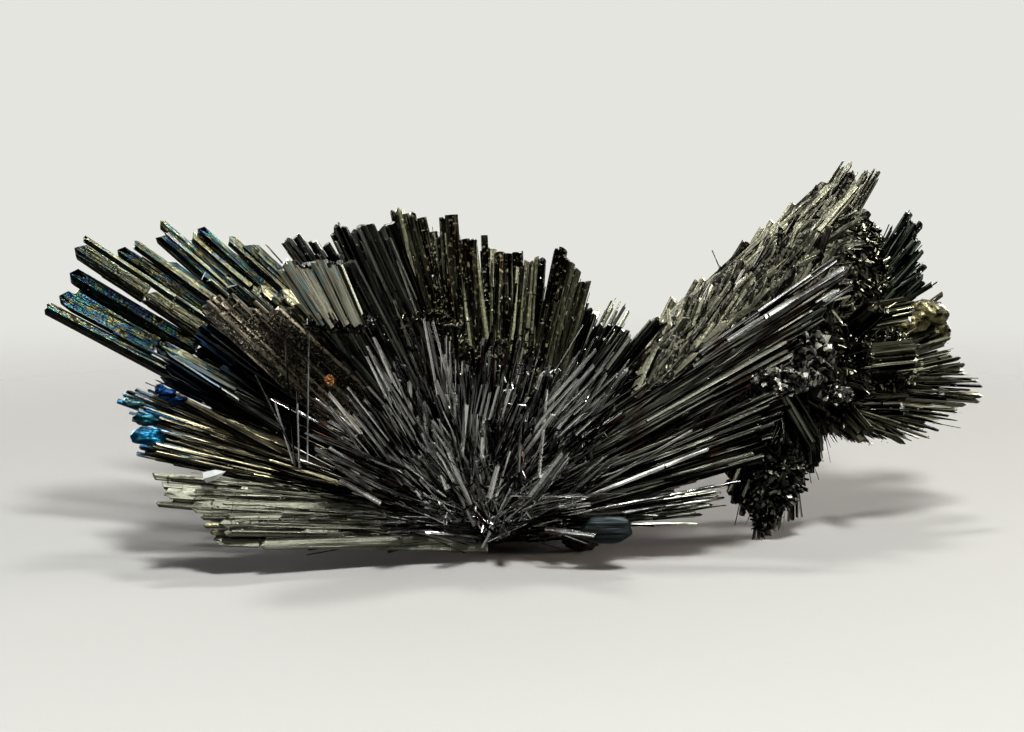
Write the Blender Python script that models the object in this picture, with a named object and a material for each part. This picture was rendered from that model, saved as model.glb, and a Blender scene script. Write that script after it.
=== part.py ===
"""Stibnite crystal spray: one grown-together spray of faceted crystals, and one clear crystal.

Lengths are written in millimetres and turned into metres by MM. +Z is up, +X is to the right
and +Y points away from the front. The underside is cut flat at z = 0, where the spray rests.
"""
import math
import random
from collections import namedtuple

import bmesh
import bpy
from mathutils import Matrix, Vector

MM = 0.001

# The middle of the whole object's box, in x and y, which is brought over the origin.
MIDDLE = (1.73, 3.65)

# A bundle is a row of crystals. Their roots are spaced along root_a-root_b and their tips along
# tip_a-tip_b. wide and thick are the crystal's section, ragged is how uneven the tips are, as a
# share of the length, and top is the shape of the end.
Bundle = namedtuple("Bundle", "root_a root_b tip_a tip_b count wide thick ragged top")

LEFT_FAN = {
    "left_edge_low": Bundle(
        (-9, -6, 7), (-9, -6, 7), (-46.3, -3, 25.8), (-44.8, 3, 27.2), 2, 2.9, 1.5, 0, "chisel"),
    "left_edge_high": Bundle(
        (-9, -4, 8), (-9, -2, 9), (-44.2, 2, 30.6), (-40.0, 6, 30.0), 2, 2.8, 1.5, 0, "chisel"),
    "left_back_row": Bundle(
        (-9, 4, 8), (-6, 6, 10), (-38.5, 20, 31.0), (-29.4, 17, 29.8), 5, 2.7, 1.6, 0.03, "chisel"),
    "left_inner_row": Bundle(
        (-10, -2, 8), (-7, 0, 10), (-36, 8, 27.6), (-25, 6, 26), 5, 2.6, 1.4, 0.05, "slant"),
    "left_short_row": Bundle(
        (-10, -7, 6), (-10, -6, 7), (-35.6, -8, 18.2), (-35.0, -5, 20.4), 3, 1.9, 1.1, 0.02, "point"),
    "left_gap_row": Bundle(
        (-10, -5, 7), (-10, -4, 8), (-30, -5, 20.5), (-33, 2, 24.5), 3, 2.0, 1.2, 0.05, "slant"),
    "left_mid_back": Bundle(
        (-10, 3, 7), (-9, 5, 8), (-33, 16, 20), (-28, 21, 23), 3, 2.9, 1.6, 0.06, "slant"),
    "left_low_back": Bundle(
        (-8, 3, 5), (-8, 5, 5), (-33, 4, 12), (-31, 16, 13), 4, 2.7, 1.5, 0.06, "slant"),
    "left_low_tips": Bundle(
        (-9, -9, 5), (-9, -8, 6), (-36.8, -13, 12.5), (-38.8, -8, 17.0), 4, 1.7, 1.0, 0.02, "chisel"),
    "left_low_front": Bundle(
        (-6, -8, 4), (-6, -7, 5), (-28.4, -18, 5.6), (-34.6, -16, 9.4), 4, 1.9, 1.0, 0.02, "slant"),
    "left_floor_laths": Bundle(
        (-4, -4, 2.4), (-4, -7, 3), (-21.5, -10, 2.6), (-25.4, -16, 4.2), 3, 1.8, 0.9, 0.02, "slant"),
    "brown_slab": Bundle(
        (-11, -8, 9), (-9, -8, 10), (-30.2, -7, 26.2), (-24.6, -8, 25.6), 4, 2.0, 1.4, 0.02, "slant"),
}

CENTRE_FAN = {
    "block_face": Bundle(
        (-8, -8, 10), (-6, -8, 10), (-21.6, -15, 30.6), (-16.4, -15, 30.8), 4, 1.9, 1.7, 0.01, "flat"),
    "block_stubs": Bundle(
        (-8, -5, 12), (-6, -5, 12), (-22.2, -11, 32.8), (-18.2, -11, 32.4), 4, 0.9, 0.8, 0.01, "flat"),
    "block_top": Bundle(
        (-6, -6, 10), (-4, -6, 10), (-17.0, -10, 33.9), (-12.8, -7, 33.7), 3, 2.0, 1.8, 0.01, "slant"),
    "columns_left": Bundle(
        (-5, -9, 8), (-3, -9, 8), (-11.4, -4, 34.8), (-9.0, -4, 34.2), 3, 1.3, 1.2, 0.01, "flat"),
    "columns_mid": Bundle(
        (-4, -8, 8), (-2, -8, 8), (-7.6, -3, 32.4), (-4.6, -3, 32), 3, 1.7, 1.5, 0.01, "flat"),
    "columns_peak": Bundle(
        (-4, -8, 8), (-4, -8, 8), (-6.2, -4, 34.1), (-6.2, -4, 34.1), 1, 2.0, 1.6, 0, "flat"),
    "columns_thin": Bundle(
        (-3, -8, 8), (-2, -8, 8), (-3.8, -3, 31.4), (-2.8, -2, 31.8), 2, 0.7, 0.6, 0, "flat"),
    "columns_wide": Bundle(
        (-2, -8, 8), (0, -8, 8), (-1.6, -2, 30.4), (0.1, -2, 30.3), 2, 1.7, 1.4, 0, "flat"),
    "columns_right": Bundle(
        (-1, -8, 8), (1, -8, 8), (1.0, -3, 29.4), (2.8, -4, 30.4), 3, 1.2, 1.0, 0.01, "slant"),
    "columns_lean": Bundle(
        (0, -8, 8), (1, -8, 8), (5.0, -6, 31.6), (7.2, -6, 28.2), 4, 1.3, 1.0, 0.01, "slant"),
    "columns_behind": Bundle(
        (-6, 2, 8), (3, 2, 8), (-15, 5, 30), (6, 5, 27.5), 6, 2.6, 2.0, 0.05, "slant"),
    "columns_far": Bundle(
        (-6, 4, 8), (3, 4, 8), (-18, 13, 27), (6, 15, 25), 6, 2.6, 2.0, 0.06, "slant"),
    "columns_fill": Bundle(
        (-8, 0, 8), (-6, 0, 8), (-24, 2, 25.5), (-15, 0, 29), 3, 2.6, 1.8, 0.04, "slant"),
    "front_short": Bundle(
        (-6, -7, 5), (2, -7, 5), (-15, -16, 17), (6, -14, 17), 6, 1.5, 1.0, 0.12, "point"),
    "front_spread": Bundle(
        (-6, -7, 4), (2, -7, 4), (-18, -17, 12), (10, -15, 12), 4, 1.4, 1.0, 0.12, "point"),
    "front_low": Bundle(
        (-5, -7, 3), (2, -7, 3), (-13, -16, 5), (6, -15, 5), 4, 1.4, 1.0, 0.10, "point"),
    "front_high": Bundle(
        (-5, -7, 6), (2, -7, 6), (-12, -13.5, 22.5), (12, -14, 21), 4, 1.4, 1.0, 0.06, "point"),
}

BACK_FAN = {
    "back_pair": Bundle(
        (0, 5, 8), (3, 5, 8), (8.4, 22, 23.0), (13.4, 24, 23.0), 4, 1.3, 1.0, 0.04, "point"),
    "back_high": Bundle(
        (-6, 6, 8), (2, 6, 8), (-24, 21, 23), (5, 24, 21), 5, 2.5, 1.5, 0.06, "slant"),
    "back_mid": Bundle(
        (-8, 6, 6), (3, 6, 6), (-27, 24, 14), (9, 26.5, 13), 5, 2.5, 1.4, 0.07, "point"),
    "back_low": Bundle(
        (-8, 6, 4), (4, 6, 4), (-24, 22, 5), (13, 24, 5), 5, 2.0, 1.2, 0.08, "slant"),
}

RIGHT_FAN = {
    "lath_low": Bundle(
        (2, -10, 4), (2, -10, 4), (19.4, -9, 5.4), (22, -8, 7.4), 3, 1.0, 0.6, 0.02, "point"),
    "lath_mid": Bundle(
        (2, -9, 5), (2, -8, 6), (25, -9, 11), (29, -7, 18), 5, 1.3, 0.8, 0.04, "slant"),
    "lath_high": Bundle(
        (1, -8, 6), (1, -7, 7), (29, -6, 21), (34, -2, 28.5), 5, 1.4, 0.9, 0.03, "slant"),
    "steep_dark": Bundle(
        (0, -7, 7), (1, -6, 7), (9.5, -4, 23), (15, -1, 23.6), 4, 1.4, 0.9, 0.05, "slant"),
    "steep_behind": Bundle(
        (2, 0, 7), (4, 1, 7), (8, 4, 25), (15, 4, 21), 4, 2.2, 1.7, 0.05, "slant"),
    "right_low_back": Bundle(
        (4, 3, 5), (5, 2, 6), (18, 14, 6), (22, 12, 14), 4, 2.2, 1.6, 0.06, "slant"),
    "round_ended": Bundle(
        (1, -8, 3.4), (1, -6, 3), (11, -14, 5.2), (10.4, -8, 3.2), 3, 1.8, 1.0, 0, "chisel"),
}

RIGHT_WING = {
    "wing_edge": Bundle(
        (8, 3, 10), (20, 8, 16), (13.0, 6, 20.6), (33.0, 13, 35.6), 9, 2.4, 2.0, 0.01, "slant"),
    "wing_tip": Bundle(
        (24, 10, 20), (27, 11, 20), (35.6, 14, 38.0), (38.2, 16, 37.2), 2, 2.2, 1.6, 0, "point"),
    "wing_shoulder": Bundle(
        (28, 10, 20), (30, 10, 20), (36.4, 12, 33.8), (38.6, 12, 30.6), 3, 2.0, 1.6, 0.02, "slant"),
    "wing_face": Bundle(
        (10, -1, 9), (20, 1, 10), (24, 3, 28), (35, 5, 30), 7, 1.8, 1.2, 0.05, "slant"),
    "wing_flakes": Bundle(
        (14, 2, 14), (22, 4, 18), (19, 4, 25.5), (33, 8, 34), 6, 2.0, 1.2, 0.06, "slant"),
    "wing_back": Bundle(
        (10, 10, 8), (22, 14, 10), (22, 18, 24), (38, 20, 30), 5, 2.6, 1.8, 0.06, "slant"),
    "wing_spikes": Bundle(
        (33, 8, 20), (34, 8, 19), (41.8, 10, 33.8), (42.6, 9, 26.6), 6, 1.3, 1.0, 0.03, "slant"),
    "gold_lump": Bundle(
        (36, 14, 17), (36, 14, 16), (46.4, 21, 22.8), (46.8, 20, 18.8), 4, 1.7, 1.5, 0.01, "flat"),
    "needles_high": Bundle(
        (34, 6, 16), (34, 6, 16), (46.8, 14, 17.8), (49.8, 14, 14.6), 5, 1.1, 0.9, 0.02, "point"),
    "needles_mid": Bundle(
        (33, 5, 15), (33, 5, 14), (50.0, 12, 13.2), (43.4, 8, 9.8), 5, 1.1, 0.9, 0.03, "point"),
    "needles_low": Bundle(
        (32, 4, 14), (31, 3, 14), (41, 7, 9.4), (32, 4, 9.8), 6, 1.2, 0.9, 0.03, "point"),
    "needles_far": Bundle(
        (34, 10, 16), (33, 9, 14), (47.6, 18, 17.4), (44, 14, 10.6), 5, 1.4, 1.0, 0.03, "point"),
    "needles_back": Bundle(
        (33, 12, 16), (32, 12, 14), (45, 24, 17), (38, 22, 9), 4, 1.4, 1.1, 0.05, "point"),
    "cluster_front": Bundle(
        (33, 5, 20), (33, 5, 14), (37, -1, 25), (36, -1, 11), 4, 2.2, 1.8, 0.10, "slant"),
    "cluster_side": Bundle(
        (35, 6, 22), (35, 6, 14), (42, 5, 24), (42, 4, 14), 3, 2.2, 1.8, 0.10, "slant"),
    "cluster_back": Bundle(
        (33, 10, 24), (33, 10, 14), (36, 19, 29), (34, 19, 10), 4, 2.4, 2.0, 0.08, "slant"),
}

FOOT = {
    "foot_clump": Bundle(
        (30, 4, 15), (27, 3, 14), (31.0, 4, 6.6), (22.0, -1, 4.4), 7, 1.9, 1.5, 0.03, "slant"),
    "foot_toe": Bundle(
        (28, 4, 12), (27, 3, 12), (26.8, 3, -0.5), (25.2, 3.5, -0.5), 2, 1.6, 1.5, 0, "flat"),
    "foot_side": Bundle(
        (29, 5, 12), (26, 3, 12), (28.4, 4, 1.6), (24, 3, 2.2), 3, 1.5, 1.3, 0.02, "slant"),
    "foot_heel": Bundle(
        (29, 8, 12), (27, 8, 12), (31, 14, 5), (26, 13, 3.5), 3, 2.2, 1.6, 0.05, "slant"),
}

# The mass that the crystals grow out of, as lumps: centre and half sizes.
CORE_LUMPS = {
    "centre": ((-2.5, -2.5, 7.4), (9, 9.5, 6.8)),
    "centre_high": ((-4, 2, 14), (9, 6, 8)),
    "left": ((-14, 1, 9), (9, 6.5, 4.5)),
    "left_high": ((-15, 3, 15), (8, 6, 6)),
    "right": ((9, 0, 8), (9, 6, 5)),
    "base": ((-2, 6, 2.5), (11, 9, 4)),
    "base_toe": ((7, -2, 1.4), (2.6, 2.4, 1.8)),
    "wing_root": ((21, 5, 14), (9, 4.5, 6)),
    "right_mass": ((32, 6, 18), (4.6, 5, 7)),
    "wing_end": ((36, 10, 26), (2.8, 3.4, 6)),
    "right_cluster": ((37.5, 11, 16.5), (4.4, 5, 4.4)),
    "foot": ((27.6, 4.5, 8.6), (2.4, 2.6, 4.6)),
}
LUMP_UNEVEN = 0.10

# The wing is a thick blade-shaped mass from the growth centre to the top right.
WING_LOW_EDGE = ((10, 2, 8), (32, 3, 14), (36, 9, 22))
WING_TOP_EDGE = ((13, 6, 20.5), (33, 13, 34.5), (37, 13, 31))
WING_THICK = 6.0

# A broad crystal shows six faces, and a needle thinner than NEEDLE_WIDE only four.
BROAD_SIDES = 6
NEEDLE_SIDES = 4
NEEDLE_WIDE = 1.8
CRYSTAL_TAPER = 0.86
POINT_HEIGHT = 0.9
ROOT_SPREAD = 0.6
SLANT = 0.5
CHISEL_SLOPE = 1.4
FLAT_ANGLE = math.radians(0.5)
FLOOR_DEPTH = 10.0

# A stubby clear crystal of another mineral, beside the low laths: its middle, length and width.
CLEAR_AT = (-28.4, -15.6, 10.1)
CLEAR_LONG = 2.2
CLEAR_WIDE = 1.1
CLEAR_LEAN = (0.95, -0.1, 0.3)


def clear_scene():
    for obj in list(bpy.data.objects):
        bpy.data.objects.remove(obj, do_unlink=True)


def collection(name):
    made = bpy.data.collections.new(name)
    bpy.context.scene.collection.children.link(made)
    return made


def material(name, colour, metallic, roughness):
    made = bpy.data.materials.new(name)
    made.use_nodes = True
    shader = made.node_tree.nodes["Principled BSDF"]
    shader.inputs["Base Color"].default_value = (*colour, 1)
    shader.inputs["Metallic"].default_value = metallic
    shader.inputs["Roughness"].default_value = roughness
    return made


def to_object(bm, name, place):
    """Turn a bmesh in millimetres into an object in metres, with the box's middle over the origin."""
    bmesh.ops.translate(bm, vec=(-MIDDLE[0], -MIDDLE[1], 0), verts=bm.verts)
    bmesh.ops.scale(bm, vec=(MM, MM, MM), verts=bm.verts)
    mesh = bpy.data.meshes.new(name)
    bm.to_mesh(mesh)
    bm.free()
    obj = bpy.data.objects.new(name, mesh)
    place.objects.link(obj)
    return obj


def shape_top(bm, verts, length, wide, top, side):
    """Give the crystal's upper end its shape. The crystal stands along z, with its end at length / 2."""
    upper = [v for v in verts if v.co.z > 0]
    if top == "slant":
        for v in upper:
            v.co.z += SLANT * side * v.co.x - SLANT * wide / 2
    if top == "chisel":
        for v in upper:
            v.co.z -= CHISEL_SLOPE * abs(v.co.x)
    if top == "point":
        face = next(f for f in bm.faces if all(v in upper for v in f.verts))
        peak = bmesh.ops.poke(bm, faces=[face])["verts"][0]
        for v in upper:
            v.co.z -= POINT_HEIGHT * wide
        verts.append(peak)
    bmesh.ops.connect_verts_nonplanar(bm, angle_limit=FLAT_ANGLE, faces=bm.faces)


def add_crystal(bm, root, tip, wide, thick, top, facing, side):
    """Add one flattened six-sided crystal from root to tip, with its broad face towards facing."""
    axis = tip - root
    grown = bmesh.new()
    sides = BROAD_SIDES if wide > NEEDLE_WIDE else NEEDLE_SIDES
    made = bmesh.ops.create_cone(grown, cap_ends=True, segments=sides, radius1=0.5,
                                 radius2=0.5 * CRYSTAL_TAPER, depth=axis.length)
    verts = list(made["verts"])
    bmesh.ops.scale(grown, vec=(wide, thick, 1), verts=verts)
    shape_top(grown, verts, axis.length, wide, top, side)
    z = axis.normalized()
    x = facing.cross(z).normalized()
    y = z.cross(x)
    turn = Matrix((x, y, z)).transposed().to_4x4()
    bmesh.ops.transform(grown, matrix=Matrix.Translation((root + tip) / 2) @ turn, verts=grown.verts)
    piece = bpy.data.meshes.new("crystal")
    grown.to_mesh(piece)
    grown.free()
    bm.from_mesh(piece)
    bpy.data.meshes.remove(piece)


def grow_bundle(bm, name, bundle):
    """Add every crystal of a bundle, each a little different from the next."""
    rng = random.Random(name)
    for i in range(bundle.count):
        share = i / max(1, bundle.count - 1)
        root = Vector(bundle.root_a).lerp(Vector(bundle.root_b), share)
        root += Vector(rng.uniform(-ROOT_SPREAD, ROOT_SPREAD) for _ in range(3))
        tip = Vector(bundle.tip_a).lerp(Vector(bundle.tip_b), share)
        tip = root + (tip - root) * (1 - rng.uniform(0, 2) * bundle.ragged)
        size = rng.uniform(0.85, 1.15)
        facing = Vector((rng.uniform(-0.4, 0.4), -1, rng.uniform(-0.2, 0.5)))
        side = rng.choice((-1, 1))
        add_crystal(bm, root, tip, bundle.wide * size, bundle.thick * size, bundle.top, facing, side)


def add_lump(bm, name, centre, half):
    """Add one uneven faceted lump of the core."""
    rng = random.Random(name)
    verts = bmesh.ops.create_icosphere(bm, subdivisions=2, radius=1)["verts"]
    for v in verts:
        v.co *= 1 + rng.uniform(-LUMP_UNEVEN, LUMP_UNEVEN)
        v.co = Vector(centre) + Vector(a * b for a, b in zip(v.co, half))


def add_wing_mass(bm):
    """Add the wing's inner mass: the hull of its two edges, as thick as WING_THICK."""
    verts = []
    for point in WING_LOW_EDGE + WING_TOP_EDGE:
        for side in (-0.5, 0.5):
            verts.append(bm.verts.new(Vector(point) + Vector((0, side * WING_THICK, 0))))
    hull = bmesh.ops.convex_hull(bm, input=verts)
    spare = [e for e in hull["geom_interior"] if isinstance(e, bmesh.types.BMVert)]
    bmesh.ops.delete(bm, geom=spare, context="VERTS")


def solid_crystals(place):
    bm = bmesh.new()
    for group in (LEFT_FAN, CENTRE_FAN, BACK_FAN, RIGHT_FAN, RIGHT_WING, FOOT):
        for name, bundle in group.items():
            grow_bundle(bm, name, bundle)
    for name, (centre, half) in CORE_LUMPS.items():
        if name != "centre":
            add_lump(bm, name, centre, half)
    add_wing_mass(bm)
    return to_object(bm, "grown_crystals", place)


def floor_block(place):
    bm = bmesh.new()
    bmesh.ops.create_cube(bm, size=1)
    bmesh.ops.scale(bm, vec=(200, 200, FLOOR_DEPTH), verts=bm.verts)
    bmesh.ops.translate(bm, vec=(0, 0, -FLOOR_DEPTH / 2), verts=bm.verts)
    return to_object(bm, "floor_cut", place)


def island_of(bm, face):
    """The faces joined to a face through shared edges."""
    seen = {face}
    queue = [face]
    while queue:
        for edge in queue.pop().edges:
            for other in edge.link_faces:
                if other not in seen:
                    seen.add(other)
                    queue.append(other)
    return seen


def keep_outer_skin(bm):
    """Keep the largest closed skin, and drop loose chips and sealed hollows inside."""
    left = set(bm.faces)
    islands = []
    while left:
        island = island_of(bm, next(iter(left)))
        left -= island
        islands.append(island)
    islands.sort(key=len, reverse=True)
    spare = [face for island in islands[1:] for face in island]
    bmesh.ops.delete(bm, geom=spare, context="FACES")


def join_and_cut(obj, crystals, floor):
    """Join the crystals to the core, cut the underside flat and apply both."""
    join = obj.modifiers.new("join_crystals", "BOOLEAN")
    join.operation = "UNION"
    join.solver = "EXACT"
    join.use_self = True
    join.object = crystals
    cut = obj.modifiers.new("flat_underside", "BOOLEAN")
    cut.operation = "DIFFERENCE"
    cut.solver = "EXACT"
    cut.object = floor
    graph = bpy.context.evaluated_depsgraph_get()
    mesh = bpy.data.meshes.new_from_object(obj.evaluated_get(graph))
    obj.modifiers.clear()
    bm = bmesh.new()
    bm.from_mesh(mesh)
    keep_outer_skin(bm)
    bmesh.ops.triangulate(bm, faces=bm.faces)
    bm.to_mesh(obj.data)
    bm.free()


def stibnite_spray(parts, cutters):
    bm = bmesh.new()
    add_lump(bm, "centre", *CORE_LUMPS["centre"])
    obj = to_object(bm, "stibnite_spray", parts)
    join_and_cut(obj, solid_crystals(cutters), floor_block(cutters))
    obj.data.materials.append(material("stibnite", (0.06, 0.06, 0.055), 0.85, 0.4))
    return obj


def clear_crystal(parts):
    bm = bmesh.new()
    half = Vector(CLEAR_LEAN).normalized() * CLEAR_LONG / 2
    root = Vector(CLEAR_AT) - half
    tip = Vector(CLEAR_AT) + half
    add_crystal(bm, root, tip, CLEAR_WIDE, CLEAR_WIDE, "point", Vector((0, -1, 0)), 1)
    obj = to_object(bm, "clear_crystal", parts)
    obj.data.materials.append(material("clear_mineral", (0.86, 0.86, 0.83), 0.0, 0.15))
    return obj


def main():
    clear_scene()
    parts = collection("stibnite_crystal_spray")
    cutters = collection("cutters")
    stibnite_spray(parts, cutters)
    clear_crystal(parts)
    for obj in cutters.objects:
        obj.hide_render = True
        obj.display_type = "WIRE"


main()
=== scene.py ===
import math
import random
from collections import namedtuple

import bmesh
import bpy
import numpy as np
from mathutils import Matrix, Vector, noise


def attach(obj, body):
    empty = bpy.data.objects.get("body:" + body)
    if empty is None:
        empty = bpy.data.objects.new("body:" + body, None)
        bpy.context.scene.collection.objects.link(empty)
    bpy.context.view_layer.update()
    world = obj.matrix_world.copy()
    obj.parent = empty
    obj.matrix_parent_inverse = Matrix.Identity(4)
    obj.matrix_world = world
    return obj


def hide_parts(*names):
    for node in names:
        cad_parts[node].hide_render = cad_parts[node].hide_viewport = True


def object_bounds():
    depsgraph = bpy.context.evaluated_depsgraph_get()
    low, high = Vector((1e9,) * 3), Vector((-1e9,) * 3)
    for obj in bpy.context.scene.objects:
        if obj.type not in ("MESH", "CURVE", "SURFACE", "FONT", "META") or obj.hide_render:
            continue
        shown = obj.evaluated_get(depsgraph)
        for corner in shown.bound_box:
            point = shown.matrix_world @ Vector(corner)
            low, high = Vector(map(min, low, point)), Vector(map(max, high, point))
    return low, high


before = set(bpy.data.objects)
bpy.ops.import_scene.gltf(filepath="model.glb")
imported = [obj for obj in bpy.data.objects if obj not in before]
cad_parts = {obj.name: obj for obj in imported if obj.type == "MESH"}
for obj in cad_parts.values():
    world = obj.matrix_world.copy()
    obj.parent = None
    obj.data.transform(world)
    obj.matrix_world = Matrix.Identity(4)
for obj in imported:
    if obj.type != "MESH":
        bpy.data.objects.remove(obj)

cad_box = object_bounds()

# ---------------------------------------------------------------------------------------------
# The viewpoint: from the front, about 30 cm off and a little above the table, through a short
# tele lens. Lengths are in millimetres, in the axes that the spray is measured in; the middle of
# its box is brought over the origin, as in the solids.
MM = 0.001
MIDDLE = Vector((1.73, 3.65, 0.0))
EYE_DISTANCE = 300.0
EYE_ELEVATION = math.radians(8.0)
EYE_TARGET = Vector((0.0, 0.0, 18.4))
LENS = 105.0
SENSOR_WIDTH = 36.0
NEAREST = 10.0

eye = EYE_TARGET + EYE_DISTANCE * Vector((0, -math.cos(EYE_ELEVATION), math.sin(EYE_ELEVATION)))
camera_data = bpy.data.cameras.new("view")
camera_data.lens = LENS
camera_data.sensor_width = SENSOR_WIDTH
camera_data.clip_start = NEAREST * MM
camera = bpy.data.objects.new("view", camera_data)
camera.location = (eye - MIDDLE) * MM
camera.rotation_euler = (math.pi / 2 - EYE_ELEVATION, 0, 0)
bpy.context.scene.collection.objects.link(camera)
bpy.context.scene.camera = camera

# ---------------------------------------------------------------------------------------------
# The inner mass: massive black stibnite that every crystal grows out of. It is only seen in the
# deep gaps between crystals, as a rough, nearly black, broken surface.
CORE_LUMPS = {
    "centre": ((-2.5, -2.5, 7.4), (9, 9.5, 6.8)),
    "centre_high": ((-4, 2, 14), (9, 6, 8)),
    "left": ((-14, 1, 9), (9, 6.5, 4.5)),
    "left_high": ((-15, 3, 15), (8, 6, 6)),
    "right": ((9, 0, 8), (9, 6, 5)),
    "base": ((-2, 6, 2.5), (11, 9, 4)),
    "base_toe": ((7, -2, 1.4), (2.6, 2.4, 1.8)),
    "wing_root": ((21, 5, 14), (9, 4.5, 6)),
    "right_mass": ((32, 6, 18), (4.6, 5, 7)),
    "wing_end": ((36, 10, 26), (2.8, 3.4, 6)),
    "right_cluster": ((37.5, 11, 16.5), (4.4, 5, 4.4)),
    "foot": ((27.6, 4.5, 8.6), (2.4, 2.6, 4.6)),
}
CORE_SHRINK = 0.8
CORE_ROUGH = 0.09
CORE_CHIP = 1.11
CORE_CHIP_DEPTH = 0.3
WING_LOW_EDGE = ((10, 3, 8), (31, 5, 15), (34, 10, 22))
WING_TOP_EDGE = ((13, 7, 19), (32, 13, 32), (34, 13, 29))
WING_THICK = 3.0


def linear(code):
    """A colour written as sRGB hex, as the shader's linear numbers."""
    parts = [int(code[i:i + 2], 16) / 255 for i in (1, 3, 5)]
    return [c / 12.92 if c <= 0.04045 else ((c + 0.055) / 1.055) ** 2.4 for c in parts] + [1.0]


def add(tree, kind, settings=None, links=None, **traits):
    """Add a node, with its traits, its socket settings and the sockets linked into it."""
    node = tree.nodes.new(kind)
    for key, value in traits.items():
        setattr(node, key, value)
    for key, value in (settings or {}).items():
        node.inputs[key].default_value = value
    for key, socket in (links or {}).items():
        tree.links.new(socket, node.inputs[key])
    return node


def new_material(name):
    """An empty material, with its tree and its shader."""
    made = bpy.data.materials.new(name)
    made.use_nodes = True
    tree = made.node_tree
    tree.nodes.clear()
    shader = add(tree, "ShaderNodeBsdfPrincipled")
    add(tree, "ShaderNodeOutputMaterial", links={"Surface": shader.outputs[0]})
    return made, tree, shader


def black_mass():
    """Massive stibnite, broken rough: dull and almost black, with a few dull grey glints."""
    made, tree, shader = new_material("massive_stibnite_broken")
    place = add(tree, "ShaderNodeTexCoord").outputs["Object"]
    chips = add(tree, "ShaderNodeTexNoise", {"Scale": 1 / (CORE_CHIP * MM), "Detail": 4.0},
                {"Vector": place}).outputs["Fac"]
    tint = add(tree, "ShaderNodeMix", {6: linear("#0a0b0a"), 7: linear("#2c2b26")}, {0: chips},
               data_type="RGBA")
    bump = add(tree, "ShaderNodeBump", {"Strength": 0.8, "Distance": CORE_CHIP_DEPTH * MM},
               {"Height": chips})
    tree.links.new(tint.outputs[2], shader.inputs["Base Color"])
    tree.links.new(bump.outputs[0], shader.inputs["Normal"])
    shader.inputs["Metallic"].default_value = 0.3
    shader.inputs["Roughness"].default_value = 0.65
    return made


def stands_for(obj):
    """The piece is part of the grown-together spray, and stands for its solid."""
    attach(obj, "root")
    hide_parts("stibnite_spray")


def to_piece(bm, name, finish):
    """Turn a bmesh in millimetres into a piece in metres, in its place."""
    bmesh.ops.translate(bm, vec=-MIDDLE, verts=bm.verts)
    bmesh.ops.scale(bm, vec=(MM, MM, MM), verts=bm.verts)
    mesh = bpy.data.meshes.new(name)
    bm.to_mesh(mesh)
    bm.free()
    obj = bpy.data.objects.new(name, mesh)
    bpy.context.scene.collection.objects.link(obj)
    mesh.materials.append(finish)
    return obj


def core_mass():
    """Uneven lumps that run into one another, and the sheet that the wing grew on."""
    rng = random.Random("core")
    bm = bmesh.new()
    for centre, half in CORE_LUMPS.values():
        verts = bmesh.ops.create_icosphere(bm, subdivisions=4, radius=CORE_SHRINK)["verts"]
        for v in verts:
            v.co *= 1 + rng.uniform(-CORE_ROUGH, CORE_ROUGH)
            v.co = Vector(centre) + Vector(a * b for a, b in zip(v.co, half))
            v.co.z = max(v.co.z, 0.0)
    verts = []
    for point in WING_LOW_EDGE + WING_TOP_EDGE:
        for side in (-0.5, 0.5):
            verts.append(bm.verts.new(Vector(point) + Vector((0, side * WING_THICK, 0))))
    bmesh.ops.convex_hull(bm, input=verts)
    return to_piece(bm, "inner_mass", black_mass())


stands_for(core_mass())

# ---------------------------------------------------------------------------------------------
# The left fan: broad blades of stibnite, each a pack of parallel ribs that grew side by side and
# end in a rounded step. Their tops are silver-gold, lightened by painted light, their undersides are
# darkened by painted shade, and a thin tarnish colours the far ends.

# A bundle is a row of crystals. Their roots are spaced along root_a-root_b and their tips along
# tip_a-tip_b. wide and thick are the crystal's section, ragged is how uneven the tips are, as a
# share of the length, and top is the shape of the end.
Bundle = namedtuple("Bundle", "root_a root_b tip_a tip_b count wide thick ragged top")

# How a bundle's crystals are made up: the width of a rib, how far the ribs' ends step back, the
# laths that lie along each crystal, the free needles beside it and their flare, the widths of both,
# and the sugary grains on it.
Habit = namedtuple("Habit", "rib step laths needles flare fine grains")

# One crystal of a piece: its form, its ends, the way its broad side runs, its section, the way its
# end slants, and how light it is.
Crystal = namedtuple("Crystal", "form root tip across wide thick side tone")

# A crystal's form, drawn once at unit width. A corner is its place across and through, its share
# of the length, and its extra length in widths, fixed and by the slant. around is where each
# face's corners lie around the crystal.
Form = namedtuple("Form", "corners faces around")

# Where all crystals start, and the way that a face looks which throws the front light to the eye.
GROWTH_CENTRE = Vector((-2.7, -7.0, 4.0))
TO_THE_LIGHT = Vector((0.1, -0.89, 0.44))

# How far roots scatter, how much of its width a crystal keeps to its tip, and how far a slanted end,
# a chisel's shoulders and a point run, in widths.
ROOT_SPREAD = 0.6
CRYSTAL_TAPER = 0.86
SLANT = 0.5
CHISEL_SLOPE = 0.9
POINT_HEIGHT = 0.9

# The corners of the solids' box, which no crystal passes.
LOW, HIGH = (Vector(corner) / MM + MIDDLE for corner in (cad_box[0], cad_box[1]))


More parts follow.
